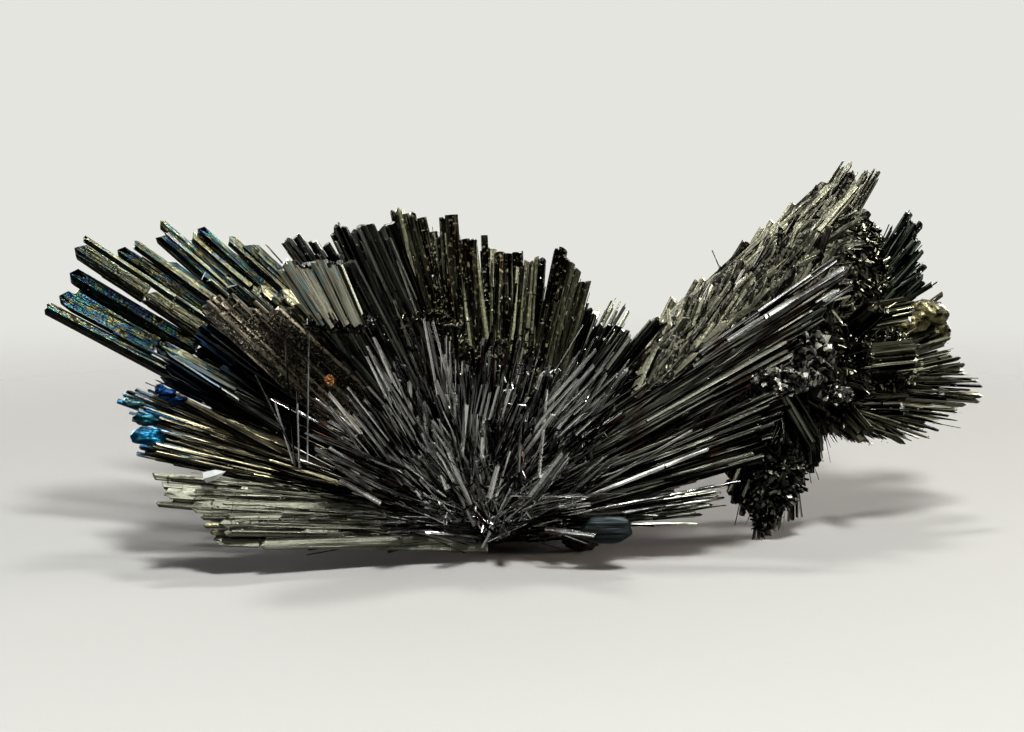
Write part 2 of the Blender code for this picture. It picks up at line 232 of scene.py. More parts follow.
def crystal_form(sides, top, squared=1.0, groove=0.0, taper=CRYSTAL_TAPER):
    """Draw one crystal form. squared below 1 pulls a round section towards a box."""
    bm = bmesh.new()
    bmesh.ops.create_cone(bm, cap_ends=True, segments=sides, radius1=0.5,
                          radius2=0.5 * taper, depth=1)
    extra = bm.verts.layers.float.new("extra")
    lean = bm.verts.layers.float.new("lean")
    for i, v in enumerate(bm.verts):
        ring = (i // 2) % 2
        for axis in (0, 1):
            share = abs(2 * v.co[axis])
            v.co[axis] = math.copysign(0.5 * share ** squared, v.co[axis]) * (1 - groove * ring)
    ends = [v for v in bm.verts if v.co.z > 0]
    if top in ("point", "broken"):
        cap = next(f for f in bm.faces if all(v.co.z > 0 for v in f.verts))
        bmesh.ops.poke(bm, faces=[cap])
    for i, v in enumerate(ends):
        if top == "slant":
            v[extra] = -SLANT / 2
            v[lean] = SLANT * v.co.x
        if top == "chisel":
            v[extra] = -CHISEL_SLOPE * abs(v.co.x)
        if top == "point":
            v[extra] = -POINT_HEIGHT
        if top == "broken":  # steps unevenly from corner to corner
            v[extra] = -POINT_HEIGHT * (0.2 + (i * 5 % 7) / 7)
    bmesh.ops.triangulate(bm, faces=bm.faces)
    corners = np.array([[v.co.x, v.co.y, v.co.z + 0.5, v[extra], v[lean]] for v in bm.verts])
    faces = np.array([[v.index for v in f.verts] for f in bm.faces])
    around = []
    for f in bm.faces:
        middle = f.calc_center_median()
        turn = math.atan2(middle.y, middle.x) / math.tau
        for v in f.verts:
            here = math.atan2(v.co.y, v.co.x) / math.tau
            around.append(turn + (here - turn + 0.5) % 1 - 0.5)
    bm.free()
    return Form(corners, faces, np.array(around).reshape(-1, 3))


FORMS = {
    "needle": crystal_form(4, "slant"),
    "spike": crystal_form(5, "point"),
    "sharp": crystal_form(5, "point", taper=0.3),
    "lath": crystal_form(8, "slant", squared=0.5),
    "flat_rib": crystal_form(6, "flat", squared=0.8),
    "slant_rib": crystal_form(6, "slant", squared=0.8),
    "chisel_rib": crystal_form(8, "chisel", squared=0.8),
    "broken": crystal_form(7, "broken", squared=0.7),
    "ribbed": crystal_form(12, "broken", squared=0.7, groove=0.16),
}


def joined(name, crystals, finish):
    """Join crystals into one piece, with a map in millimetres around and along each of them."""
    spots, faces, maps, tones = [], [], [], []
    count = 0
    luck = np.random.default_rng(len(crystals))
    for key in sorted({c.form for c in crystals}):
        form = FORMS[key]
        batch = [c for c in crystals if c.form == key]
        root, tip, across = (np.array([c[i] for c in batch]) for i in (1, 2, 3))
        wide, thick, side, tone = (np.array([c[i] for c in batch])[:, None] for i in (4, 5, 6, 7))
        length = np.linalg.norm(tip - root, axis=1, keepdims=True)
        axis = (tip - root) / length
        across = np.cross(across, axis)
        across /= np.linalg.norm(across, axis=1, keepdims=True)
        through = np.cross(axis, across)
        x, y, share, extra, lean = form.corners.T
        along = share * length + (extra + side * lean) * wide
        spot = (root[:, None] + axis[:, None] * along[..., None]
                + across[:, None] * (x * wide)[..., None] + through[:, None] * (y * thick)[..., None])
        spots.append(spot.reshape(-1, 3))
        step = np.arange(len(batch))[:, None, None] * len(form.corners)
        faces.append((form.faces[None] + step + count).reshape(-1, 3))
        around = form.around[None] * ((wide + thick) * 1.5 + 0.2)[..., None]
        around = around + luck.uniform(0, 400, (len(batch), 1, 1))
        up = along[:, form.faces] + luck.uniform(0, 400, (len(batch), 1, 1))
        maps.append(np.stack((around, up), axis=-1).reshape(-1, 2))
        tones.append(np.repeat(tone, len(form.corners), axis=1).ravel())
        count += len(batch) * len(form.corners)
    spots = np.clip(np.concatenate(spots), LOW, HIGH)
    mesh = bpy.data.meshes.new(name)
    mesh.from_pydata(((spots - np.array(MIDDLE)) * MM).tolist(), [], np.concatenate(faces).tolist())
    grain = mesh.uv_layers.new(name="grain_mm")
    grain.data.foreach_set("uv", np.concatenate(maps).ravel())
    mesh.attributes.new("tone", "FLOAT", "POINT").data.foreach_set("value", np.concatenate(tones))
    mesh.materials.append(finish)
    obj = bpy.data.objects.new(name, mesh)
    bpy.context.scene.collection.objects.link(obj)
    stands_for(obj)


def ball(rng, size):
    """A step of about this size, any way."""
    return Vector(rng.gauss(0, size) for _ in range(3))


def fine_width(rng, span):
    """Most of the small crystals are near the thinnest."""
    low, high = span
    return low + (high - low) * rng.random() ** 2


def crystal_facing(rng):
    """The way that a crystal's broad side looks, more or less to the front."""
    return Vector((rng.uniform(-0.4, 0.4), -1, rng.uniform(-0.2, 0.5)))


# The forms that a bundle's ribs take by the shape of its ends, how far the outer ribs turn away, the
# shortest length between breaks, and how much lighter the upper ribs and darker the lower ones are
# painted, as painted light from above.
RIB_FORMS = {"flat": ("flat_rib", "broken"), "slant": ("slant_rib", "broken"),
             "chisel": ("chisel_rib", "ribbed"), "point": ("spike", "sharp")}
RIB_TURN = 2.0
BREAK_EVERY = 8.0
PAINTED_LIGHT_ABOVE = 1.2


def ribs(rng, root, tip, facing, wide, thick, habit, top, side, tones=(0.0, 1.0)):
    """A crystal as a pack of parallel ribs, which step back and turn away towards its edges. Each
    is broken across here and there, and painted light makes the upper ones lighter and the lower ones darker."""
    found = []
    axis = (tip - root).normalized()
    across = facing.cross(axis).normalized()
    count = max(1, round(wide / habit.rib))
    shares = np.cumsum([0] + [rng.uniform(0.4, 1.6) for _ in range(count)])
    shares /= shares[-1]
    full = rng.randrange(count)
    for i in range(count):
        place = (shares[i] + shares[i + 1]) / 2 - 0.5
        part = (shares[i + 1] - shares[i]) * wide
        low = root + across * (place * wide) + facing.normalized() * (0.22 * thick * rng.uniform(-1, 1))
        high = low + (tip - root) * (1 - 0.04 * abs(place) * rng.random())
        back = habit.step * rng.random() + (wide * abs(place) if top == "chisel" else 0)
        if i != full:
            high -= axis * back
        depth = thick * (1 - 1.1 * place ** 2) * rng.uniform(0.85, 1.05)
        turned = facing.normalized() + across * (RIB_TURN * place) + ball(rng, 0.1)
        # Painted light: the rib's tone rises with its height across the crystal, darker below, lighter above.
        pale = rng.uniform(*tones) + PAINTED_LIGHT_ABOVE * place * across.z
        breaks = round((high - low).length / BREAK_EVERY * rng.random())
        cuts = [0.0] + sorted(rng.uniform(0.2, 0.86) for _ in range(breaks)) + [1.0]
        for start, end in zip(cuts, cuts[1:]):
            shift = facing.normalized() * (0.1 * depth * rng.uniform(-1, 1)) if breaks else Vector()
            form = rng.choice(RIB_FORMS[top])
            narrowed = (1 - CRYSTAL_TAPER) * start
            found.append(Crystal(form, low.lerp(high, start) + shift, low.lerp(high, end) + shift, turned,
                                 part * (1.15 - narrowed), depth * (1 - narrowed), side,
                                 min(1, max(0, pale + rng.uniform(-0.2, 0.2)))))
    return found


def laths(rng, root, tip, facing, wide, thick, habit):
    """Thin laths that lie along a crystal, and start and end part of the way up it."""
    found = []
    axis = (tip - root).normalized()
    across = facing.cross(axis).normalized()
    through = axis.cross(across)
    for _ in range(habit.laths):
        turn = rng.uniform(0, math.tau)
        off = across * (math.cos(turn) * wide * 0.45) + through * (math.sin(turn) * thick * 0.45)
        start = rng.uniform(0.05, 0.75)
        end = min(start + rng.uniform(0.12, 0.6), 0.94)
        low = root.lerp(tip, start) + off
        high = root.lerp(tip, end) + off * CRYSTAL_TAPER
        high += ball(rng, 0.03 * (high - low).length)
        size = fine_width(rng, habit.fine)
        form = rng.choice(("lath", "needle", "broken"))
        outward = off.normalized() + ball(rng, 0.3)
        found.append(Crystal(form, low, high, outward, size, size * rng.uniform(0.4, 0.9), 1,
                             rng.random()))
    return found


def needles(rng, root, tip, habit):
    """Free needles beside a crystal, which flare out from it."""
    found = []
    for _ in range(habit.needles):
        low = root + ball(rng, 0.7)
        high = root.lerp(tip, rng.uniform(0.4, 0.95)) + ball(rng, habit.flare)
        low = low.lerp(high, rng.uniform(0.0, 0.35))
        size = fine_width(rng, habit.fine)
        form = rng.choice(("needle", "sharp", "lath", "spike"))
        found.append(Crystal(form, low, high, ball(rng, 1) + Vector((0, -1, 0)), size,
                             size * rng.uniform(0.5, 0.9), rng.choice((-1, 1)), rng.random()))
    return found


# The smallest and the largest grain, in millimetres.
GRAIN_SIZES = (0.06, 0.16)


def grains(rng, root, tip, facing, wide, thick, habit):
    """Tiny stubby crystals that dust the side of a crystal that looks to the front."""
    found = []
    across = facing.cross(tip - root).normalized()
    out = (tip - root).cross(across).normalized()
    for _ in range(habit.grains):
        place = rng.uniform(-0.45, 0.45)
        spot = root.lerp(tip, min(rng.random() ** 0.7, 0.95)) + across * (wide * place)
        spot += out * (thick * (0.5 - 0.55 * place ** 2))
        way = ball(rng, 1).normalized()
        size = rng.uniform(*GRAIN_SIZES)
        found.append(Crystal(rng.choice(("needle", "broken")), spot - way * size * 0.6,
                             spot + way * size * 0.7, ball(rng, 1), size, size * 0.8, 1, rng.random()))
    return found


def bundle_crystals(name, bundle, habit):
    """All crystals of a bundle. The order of the draws is the one that places its solids."""
    rng = random.Random(name)
    fine = random.Random(name + "_fine")
    found = []
    for i in range(bundle.count):
        share = i / max(1, bundle.count - 1)
        root = Vector(bundle.root_a).lerp(Vector(bundle.root_b), share)
        root += Vector(rng.uniform(-ROOT_SPREAD, ROOT_SPREAD) for _ in range(3))
        tip = Vector(bundle.tip_a).lerp(Vector(bundle.tip_b), share)
        tip = root + (tip - root) * (1 - rng.uniform(0, 2) * bundle.ragged)
        size = rng.uniform(0.85, 1.15)
        facing = crystal_facing(rng)
        side = rng.choice((-1, 1))
        wide = bundle.wide * size
        thick = bundle.thick * size
        found += ribs(fine, root, tip, facing, wide, thick, habit, bundle.top, side)
        found += laths(fine, root, tip, facing, wide, thick, habit)
        found += needles(fine, root, tip, habit)
        found += grains(fine, root, tip, facing, wide, thick, habit)
    return found


# Sizes of the patterns on stibnite, in millimetres, across and along a crystal: the striae, drawn
# coarser than the real ones so that they show, the lighter patches, the spots of the tarnish film and
# the rust streaks. Then the grit on a face, the sugary grains, how far the film's edge wanders, and
# the share of its colour that an underside keeps under the painted shade.
STRIA = (0.22, 5.0)
PATCH = (1.2, 8.0)
FILM_SPOT = (1.25, 2.5)
RUST_STREAK = (2.38, 14.3)
GRIT = 0.238
SUGAR = 0.3846
FILM_WANDER = 30.0
PAINTED_UNDERSIDE_SHADE = 0.07

# Striae, patches and the crystal's own tone add up: below the first value a spot is as dark as the
# metal gets, above the second as light.
DARK_TO_LIGHT = (1.05, 1.6)


def stibnite(name, dark, light, rough, metal=1.0, few=3.0, dust=None, dusty=0.0, stain=None,
             tarnish=None, film=(30, 44), painted_shade_below=(-0.7, -0.05), relief=0.06):
    """Crystalline stibnite: a soft grey metal, striated along each crystal, so that its faces go
    from black to silver as they turn. few is how seldom a crystal is a light one, dust a sugary
    coat, stain a rusty tint in streaks, and tarnish the colours of the thin film that begins film
    millimetres out from the growth centre. painted_shade_below says how steeply a face must look
    down before painted shade darkens it to black, and relief how deep the striae are, in millimetres."""
    made, tree, shader = new_material(name)
    grain = add(tree, "ShaderNodeUVMap", uv_map="grain_mm").outputs[0]
    place = add(tree, "ShaderNodeTexCoord").outputs["Object"]
    tone = add(tree, "ShaderNodeAttribute", attribute_name="tone").outputs["Fac"]
    fine = add(tree, "ShaderNodeMapping", {"Scale": (1 / STRIA[0], 1 / STRIA[1], 1)}, {"Vector": grain})
    stria = add(tree, "ShaderNodeTexNoise", {"Scale": 1.0, "Detail": 2.0, "Roughness": 0.65},
                {"Vector": fine.outputs[0]}).outputs["Fac"]
    broad = add(tree, "ShaderNodeMapping", {"Scale": (1 / PATCH[0], 1 / PATCH[1], 1)}, {"Vector": grain})
    patch = add(tree, "ShaderNodeTexNoise", {"Scale": 1.0, "Detail": 1.0},
                {"Vector": broad.outputs[0]}).outputs["Fac"]
    grit = add(tree, "ShaderNodeTexNoise", {"Scale": 1 / (GRIT * MM), "Detail": 0.0},
               {"Vector": place}).outputs["Fac"]
    bright = add(tree, "ShaderNodeMath", {1: few}, {0: tone}, operation="POWER").outputs[0]
    mixed = add(tree, "ShaderNodeMath", links={0: stria, 1: bright}, operation="ADD").outputs[0]
    worn = add(tree, "ShaderNodeMath", links={0: mixed, 1: patch}, operation="ADD").outputs[0]
    level = add(tree, "ShaderNodeMapRange", {"From Min": DARK_TO_LIGHT[0], "From Max": DARK_TO_LIGHT[1]},
                {"Value": worn}).outputs[0]
    colour = add(tree, "ShaderNodeMix", {6: linear(dark), 7: linear(light)}, {0: level},
                 data_type="RGBA").outputs[2]
    gloss = add(tree, "ShaderNodeMapRange", {"To Min": rough - 0.1, "To Max": rough + 0.16},
                {"Value": stria}).outputs[0]
    if stain:
        across, along = (1 / (size * MM) for size in RUST_STREAK)
        streak = add(tree, "ShaderNodeMapping", {"Scale": (across, across, along)}, {"Vector": place})
        rust = add(tree, "ShaderNodeTexNoise", {"Scale": 1.0, "Detail": 2.0},
                   {"Vector": streak.outputs[0]}).outputs["Fac"]
        where = add(tree, "ShaderNodeMapRange", {"From Min": 0.54, "From Max": 0.68, "To Max": 0.6},
                    {"Value": rust}).outputs[0]
        colour = add(tree, "ShaderNodeMix", {7: linear(stain)}, {0: where, 6: colour},
                     data_type="RGBA").outputs[2]
    if tarnish:
        drawn = add(tree, "ShaderNodeMapping", {"Scale": (1 / FILM_SPOT[0], 1 / FILM_SPOT[1], 1)},
                    {"Vector": grain})
        hue = add(tree, "ShaderNodeTexNoise", {"Scale": 1.0, "Detail": 2.0, "Distortion": 0.5},
                  {"Vector": drawn.outputs[0]}).outputs["Fac"]
        ramp = add(tree, "ShaderNodeValToRGB", links={"Fac": hue})
        stops = ramp.color_ramp.elements
        while len(stops) < len(tarnish):
            stops.new(0.5)
        for i, code in enumerate(tarnish):
            stops[i].position = 0.34 + 0.32 * i / (len(tarnish) - 1)
            stops[i].color = linear(code)
        away = add(tree, "ShaderNodeVectorMath", {1: (GROWTH_CENTRE - MIDDLE) * MM}, {0: place},
                   operation="DISTANCE").outputs["Value"]
        wander = add(tree, "ShaderNodeMath", {1: FILM_WANDER * MM}, {0: patch}, operation="MULTIPLY")
        reach = add(tree, "ShaderNodeMath", links={0: away, 1: wander.outputs[0]}, operation="ADD").outputs[0]
        begins, covers = ((distance + FILM_WANDER / 2) * MM for distance in film)
        amount = add(tree, "ShaderNodeMapRange", {"From Min": begins, "From Max": covers, "To Max": 0.8},
                     {"Value": reach}).outputs[0]
        colour = add(tree, "ShaderNodeMix", links={0: amount, 6: colour, 7: ramp.outputs[0]},
                     data_type="RGBA").outputs[2]
    if dust:
        sugar = add(tree, "ShaderNodeTexNoise", {"Scale": 1 / (SUGAR * MM), "Detail": 1.0},
                    {"Vector": place}).outputs["Fac"]
        bare = 0.62 - 0.3 * dusty
        where = add(tree, "ShaderNodeMapRange", {"From Min": bare, "From Max": bare + 0.1},
                    {"Value": sugar}).outputs[0]
        colour = add(tree, "ShaderNodeMix", {7: linear(dust)}, {0: where, 6: colour},
                     data_type="RGBA").outputs[2]
        rougher = add(tree, "ShaderNodeMath", {1: 0.3}, {0: where}, operation="MULTIPLY").outputs[0]
        gloss = add(tree, "ShaderNodeMath", links={0: gloss, 1: rougher}, operation="ADD").outputs[0]
    # Painted shade: the colour darkens towards black as a face looks down, by the up part of its normal.
    normal = add(tree, "ShaderNodeNewGeometry").outputs["Normal"]
    upward = add(tree, "ShaderNodeSeparateXYZ", links={0: normal}).outputs["Z"]
    shade = add(tree, "ShaderNodeMapRange", {"From Min": painted_shade_below[0], "From Max": painted_shade_below[1],
                                             "To Min": PAINTED_UNDERSIDE_SHADE, "To Max": 1.0},
                {"Value": upward}).outputs[0]
    colour = add(tree, "ShaderNodeVectorMath", links={0: colour, "Scale": shade},
                 operation="SCALE").outputs[0]
    rough_face = add(tree, "ShaderNodeMath", {1: 0.3}, {0: grit, 2: stria}, operation="MULTIPLY_ADD")
    bump = add(tree, "ShaderNodeBump", {"Strength": 0.8, "Distance": relief * MM},
               {"Height": rough_face.outputs[0]})
    tree.links.new(colour, shader.inputs["Base Color"])
    tree.links.new(gloss, shader.inputs["Roughness"])
    tree.links.new(bump.outputs[0], shader.inputs["Normal"])
    shader.inputs["Metallic"].default_value = metal
    return made


def crust(name, centre, half, count, reach, wides, tones=(0.0, 1.0)):
    """Short crystals that stand on a lump of the mass, pointing out from it."""
    rng = random.Random(name)
    found = []
    for _ in range(count):
        out = ball(rng, 1).normalized()
        spot = Vector(centre) + Vector(a * b for a, b in zip(out, half))
        normal = Vector(a / b for a, b in zip(out, half)).normalized()
        way = (normal + ball(rng, 0.6)).normalized()
        length = rng.uniform(*reach)
        low = spot - way * length * 0.6
        size = rng.uniform(*wides)
        form = rng.choice(("broken", "slant_rib", "lath", "needle", "spike"))
        found.append(Crystal(form, low, low + way * length, ball(rng, 1) + Vector((0, -0.6, 0)), size,
                             size * rng.uniform(0.4, 0.9), rng.choice((-1, 1)), rng.uniform(*tones)))
    return found


# A crystal that is set one by one is ribs alone.
HAND_PLACED = Habit(rib=0.45, step=0.8, laths=0, needles=0, flare=0, fine=(0, 0), grains=0)


def by_hand(name, *picked, habit=HAND_PLACED, top="slant"):
    """Crystals that catch the eye, set one by one: root, tip, width, thickness and how light."""
    rng = random.Random(name)
    found = []
    for root, tip, wide, thick, tone in picked:
        facing = TO_THE_LIGHT + ball(rng, 0.2)
        found += ribs(rng, Vector(root), Vector(tip), facing, wide, thick, habit, top, 1, (tone * 0.8, tone))
    return found


LEFT_BLADES = {
    "left_edge_low": Bundle(
        (-9, -6, 7), (-9, -6, 7), (-46.3, -3, 25.8), (-44.8, 3, 27.2), 2, 2.9, 1.5, 0, "chisel"),
    "left_edge_high": Bundle(
        (-9, -4, 8), (-9, -2, 9), (-44.2, 2, 30.6), (-40.0, 6, 30.0), 2, 2.8, 1.5, 0, "chisel"),
    "left_back_row": Bundle(
        (-9, 4, 8), (-6, 6, 10), (-38.5, 20, 31.0), (-29.4, 17, 29.8), 5, 2.7, 1.6, 0.03, "chisel"),
    "left_inner_row": Bundle(
        (-10, -2, 8), (-7, 0, 10), (-36, 8, 27.6), (-25, 6, 26), 5, 2.6, 1.4, 0.05, "slant"),
}
BLADE_HABIT = Habit(rib=1.6, step=0.5, laths=22, needles=0, flare=0.8, fine=(0.1, 0.5), grains=90)


def piece_of(name, bundles, habit, finish, extra=()):
    """One piece from a section's bundles, and any other crystals given."""
    crystals = list(extra)
    for label, bundle in bundles.items():
        crystals += bundle_crystals(label, bundle, habit)
    joined(name, crystals, finish)


# Bright metal with deep striae, black below as painted shade, that a film turns gold, green and blue at the
# far ends.
gold_silver = stibnite("stibnite_blades_tarnished", "#050504", "#8c886b", 0.3, few=3.2,
                       tarnish=("#10100b", "#857e5a", "#4c6244", "#226a70", "#3a3464", "#2c5c4c",
                                "#938c64", "#14140f"),
                       film=(30, 54), painted_shade_below=(0.3, 0.68), relief=0.2)
piece_of("left_blades", LEFT_BLADES, BLADE_HABIT, gold_silver)

# ---------------------------------------------------------------------------------------------
# The gap between the left blades: shorter blades of the same stibnite, packed closer, which grew on
# under the outer ones. They stand in shade, and their metal is painted darker for it, as painted
# shade; a thin blue film tints the ends that reach the light.
LEFT_GAP = {
    "left_short_row": Bundle(
        (-10, -7, 6), (-10, -6, 7), (-35.6, -8, 18.2), (-35.0, -5, 20.4), 3, 1.9, 1.1, 0.02, "point"),
    "left_gap_row": Bundle(
        (-10, -5, 7), (-10, -4, 8), (-30, -5, 20.5), (-33, 2, 24.5), 3, 2.0, 1.2, 0.05, "slant"),
    "left_mid_back": Bundle(
        (-10, 3, 7), (-9, 5, 8), (-33, 16, 20), (-28, 21, 23), 3, 2.9, 1.6, 0.06, "slant"),
    "left_low_back": Bundle(
        (-8, 3, 5), (-8, 5, 5), (-33, 4, 12), (-31, 16, 13), 4, 2.7, 1.5, 0.06, "slant"),
}

# The same metal painted near black as painted shade for the gap it stands in, where the odd face and the
# film's dark blue still show.
painted_shade_blades = stibnite("stibnite_blades_painted_shade", "#040505", "#4c5048", 0.36, few=6.0,
                       painted_shade_below=(0.0, 0.6), film=(30, 42),
                       tarnish=("#0c1416", "#1d4450", "#17264a", "#222a22"))
blue_blade = by_hand("blue_blade", ((-27.0, -9.0, 15.8), (-34.1, -8.6, 20.4), 1.3, 0.8, 0.6),
                     ((-19.0, -9.6, 11.2), (-28.5, -9.0, 16.9), 1.0, 0.6, 0.5))
GAP_HABIT = Habit(rib=0.5, step=0.9, laths=16, needles=6, flare=0.8, fine=(0.1, 0.4), grains=10)
piece_of("left_gap_blades", LEFT_GAP, GAP_HABIT, painted_shade_blades, blue_blade)

# ---------------------------------------------------------------------------------------------
# The low left tips: a pack of short, olive-brown laths of stibnite that grew out low beside the
# blades. Their ends swelled into rounded tips, and tarnish turned those bright blue and teal.
LEFT_LOW = {
    "left_low_tips": Bundle(
        (-9, -9, 5), (-9, -8, 6), (-36.8, -13, 12.5), (-38.8, -8, 17.0), 4, 1.7, 1.0, 0.02, "chisel"),
}

# Olive-brown metal, dull along the laths, with a strong blue film over their last few millimetres.
blue_tips = stibnite("stibnite_tips_blue", "#080806", "#878167", 0.36, few=3.0,
                     tarnish=("#0c2a38", "#175274", "#1f6290", "#153868", "#1f6a74", "#3a452c"),
                     film=(33, 38), painted_shade_below=(-0.3, 0.35), relief=0.12)
dark_tip = by_hand("dark_tip", ((-20.0, -9.4, 9.6), (-33.4, -9.6, 17.0), 1.0, 0.8, 0.4))
TIP_HABIT = Habit(rib=0.4, step=0.8, laths=30, needles=34, flare=0.9, fine=(0.1, 0.4), grains=90)
piece_of("low_left_tips", LEFT_LOW, TIP_HABIT, blue_tips, dark_tip)


# How deep the dents of a rounded lump are, in millimetres.
DENT = 0.3


def rounded_lump(name, blobs, dull, shine, rough, grain=(0.769, 0.769, 0.769), uneven=0.22):
    """A smooth, rounded growth of stibnite, swollen a little unevenly. It looks melted, and is
    clouded from dull to shining in spots of grain millimetres."""
    bm = bmesh.new()
    for centre, half in blobs:
        for v in bmesh.ops.create_icosphere(bm, subdivisions=4, radius=1)["verts"]:
            swell = 1 + uneven * (noise.noise(v.co * 1.6 + Vector(centre)) + 0.3 * noise.noise(v.co * 5))
            v.co = Vector(centre) + Vector(a * b * swell for a, b in zip(v.co, half))
    made, tree, shader = new_material(name + "_stibnite")
    place = add(tree, "ShaderNodeTexCoord").outputs["Object"]
    drawn = add(tree, "ShaderNodeMapping", {"Scale": [1 / (size * MM) for size in grain]}, {"Vector": place})
    cloud = add(tree, "ShaderNodeTexNoise", {"Scale": 1.0, "Detail": 5.0},
                {"Vector": drawn.outputs[0]}).outputs["Fac"]
    share = add(tree, "ShaderNodeMapRange", {"From Min": 0.38, "From Max": 0.66}, {"Value": cloud}).outputs[0]
    colour = add(tree, "ShaderNodeMix", {6: linear(dull), 7: linear(shine)}, {0: share}, data_type="RGBA")
    tree.links.new(colour.outputs[2], shader.inputs["Base Color"])
    dent = add(tree, "ShaderNodeBump", {"Strength": 0.7, "Distance": DENT * MM}, {"Height": cloud})
    tree.links.new(dent.outputs[0], shader.inputs["Normal"])
    shader.inputs["Metallic"].default_value = 1.0
    shader.inputs["Roughness"].default_value = rough
    piece = to_piece(bm, name, made)
    piece.data.polygons.foreach_set("use_smooth", [True] * len(piece.data.polygons))
    stands_for(piece)


# Their rounded ends, under the thickest film: bright blue, teal, cyan and a dark blue.
TIP_GRAIN = (2.0, 0.6667, 0.3125)
BRIGHT_BLUE_TIP = (((-35.7, -11.9, 13.2), (1.1, 0.8, 0.9)), ((-34.9, -11.8, 13.0), (1.4, 0.8, 0.95)))
TEAL_TIP = (((-36.2, -10.4, 14.8), (0.7, 0.7, 0.5)), ((-35.4, -10.4, 14.6), (1.2, 0.7, 0.6)))
CYAN_TIP = (((-37.5, -8.4, 16.2), (0.5, 0.5, 0.32)), ((-36.8, -8.4, 16.0), (0.9, 0.5, 0.34)))
DARK_BLUE_TIP = (((-34.2, -9.6, 17.5), (0.6, 0.5, 0.5)), ((-33.5, -9.6, 17.0), (0.9, 0.6, 0.62)),
                 ((-32.6, -9.6, 16.4), (0.9, 0.6, 0.55)))
rounded_lump("tip_bright_blue", BRIGHT_BLUE_TIP, "#06202f", "#25739a", 0.42, TIP_GRAIN, 0.3)
rounded_lump("tip_teal", TEAL_TIP, "#060f12", "#1f5560", 0.42, TIP_GRAIN, 0.3)
rounded_lump("tip_cyan", CYAN_TIP, "#122c30", "#7fb0aa", 0.42, TIP_GRAIN, 0.3)
rounded_lump("tip_dark_blue", DARK_BLUE_TIP, "#03060f", "#143560", 0.42, TIP_GRAIN, 0.3)

# ---------------------------------------------------------------------------------------------
# The floor laths: broad, flat laths of stibnite, the lowest of the spray, which grew out level to
# the left. Age has dulled them to a pale satin, with green and brown streaks.
FLOOR_LATHS = {
    "left_low_front": Bundle(
        (-6, -8, 4), (-6, -7, 5), (-28.4, -18, 5.6), (-34.6, -16, 9.4), 4, 1.9, 1.0, 0.02, "slant"),
    "left_floor_laths": Bundle(
        (-4, -4, 2.4), (-4, -7, 3), (-21.5, -10, 2.6), (-25.4, -16, 4.2), 3, 1.8, 0.9, 0.02, "slant"),
}

# Aged metal, soft and pale from all sides, streaked by a faint film of olive and brown.
pale_satin = stibnite("stibnite_laths_satin", "#191a14", "#8a8b7b", 0.48, few=1.7,
                      painted_shade_below=(-0.9, -0.2), relief=0.16, film=(20, 46),
                      tarnish=("#3c4033", "#676759", "#33261e", "#3e4233", "#606153"))
FLOOR_HABIT = Habit(rib=0.7, step=1.4, laths=44, needles=20, flare=0.7, fine=(0.1, 0.45), grains=160)
piece_of("floor_laths", FLOOR_LATHS, FLOOR_HABIT, pale_satin)

# The broadest of them lie over the others: four like dull pewter, with blunt ends, and a gilded pair.
PEWTER_HABIT = Habit(rib=1.0, step=0.5, laths=0, needles=0, flare=0, fine=(0, 0), grains=0)

# Old pewter: an even, dull grey that hardly changes as the lath turns.
pewter = stibnite("stibnite_laths_pewter", "#3b3c33", "#6c6d60", 0.5, few=1.2,
                  painted_shade_below=(-1.2, -0.5), relief=0.14)
pewter_laths = by_hand("pewter_laths", ((-11.0, -9.4, 4.6), (-33.9, -17.4, 8.3), 2.0, 0.9, 0.9),
                       ((-10.0, -9.0, 5.4), (-30.6, -17.2, 7.2), 1.3, 0.7, 0.6),
                       ((-2.5, -8.0, 1.7), (-28.6, -16.6, 3.9), 1.4, 0.7, 0.8),
                       ((-3.5, -8.0, 2.4), (-24.0, -16.6, 3.4), 1.0, 0.6, 0.6),
                       habit=PEWTER_HABIT, top="chisel")
joined("pewter_laths", pewter_laths, pewter)

# A warm film that gleams gold along the ribs, with red-brown streaks of iron.
gilded = stibnite("stibnite_lath_gilded", "#1c1710", "#807c60", 0.38, few=1.6, stain="#4a2216",
                  painted_shade_below=(-0.2, 0.5), relief=0.14)
gilded_lath = by_hand("gilded_lath", ((-10.0, -9.8, 4.0), (-29.4, -17.3, 5.5), 0.6, 0.6, 0.9),
                      ((-10.0, -9.6, 3.4), (-28.8, -17.2, 4.8), 0.6, 0.6, 0.4), top="chisel")
joined("gilded_lath", gilded_lath, gilded)

# ---------------------------------------------------------------------------------------------
# The brown slab: a few broad blades of stibnite that grew side by side into one slab. A later
# growth of tiny grains covers them with a sugary brown-black coat.
BROWN_SLAB = {
    "brown_slab": Bundle(
        (-11, -8, 9), (-9, -8, 10), (-30.2, -7, 26.2), (-24.6, -8, 25.6), 4, 2.0, 1.4, 0.02, "slant"),
}

# Dark metal under brown grains too small to shine as one, so that it only sparkles in specks.
sugared = stibnite("stibnite_sugared_brown", "#060504", "#a0967f", 0.42, metal=0.85, few=2.6,
                   dust="#3e392f", dusty=0.3, relief=0.16)
SLAB_HABIT = Habit(rib=0.45, step=0.8, laths=10, needles=2, flare=0.6, fine=(0.1, 0.3), grains=1200)
piece_of("brown_slab", BROWN_SLAB, SLAB_HABIT, sugared)

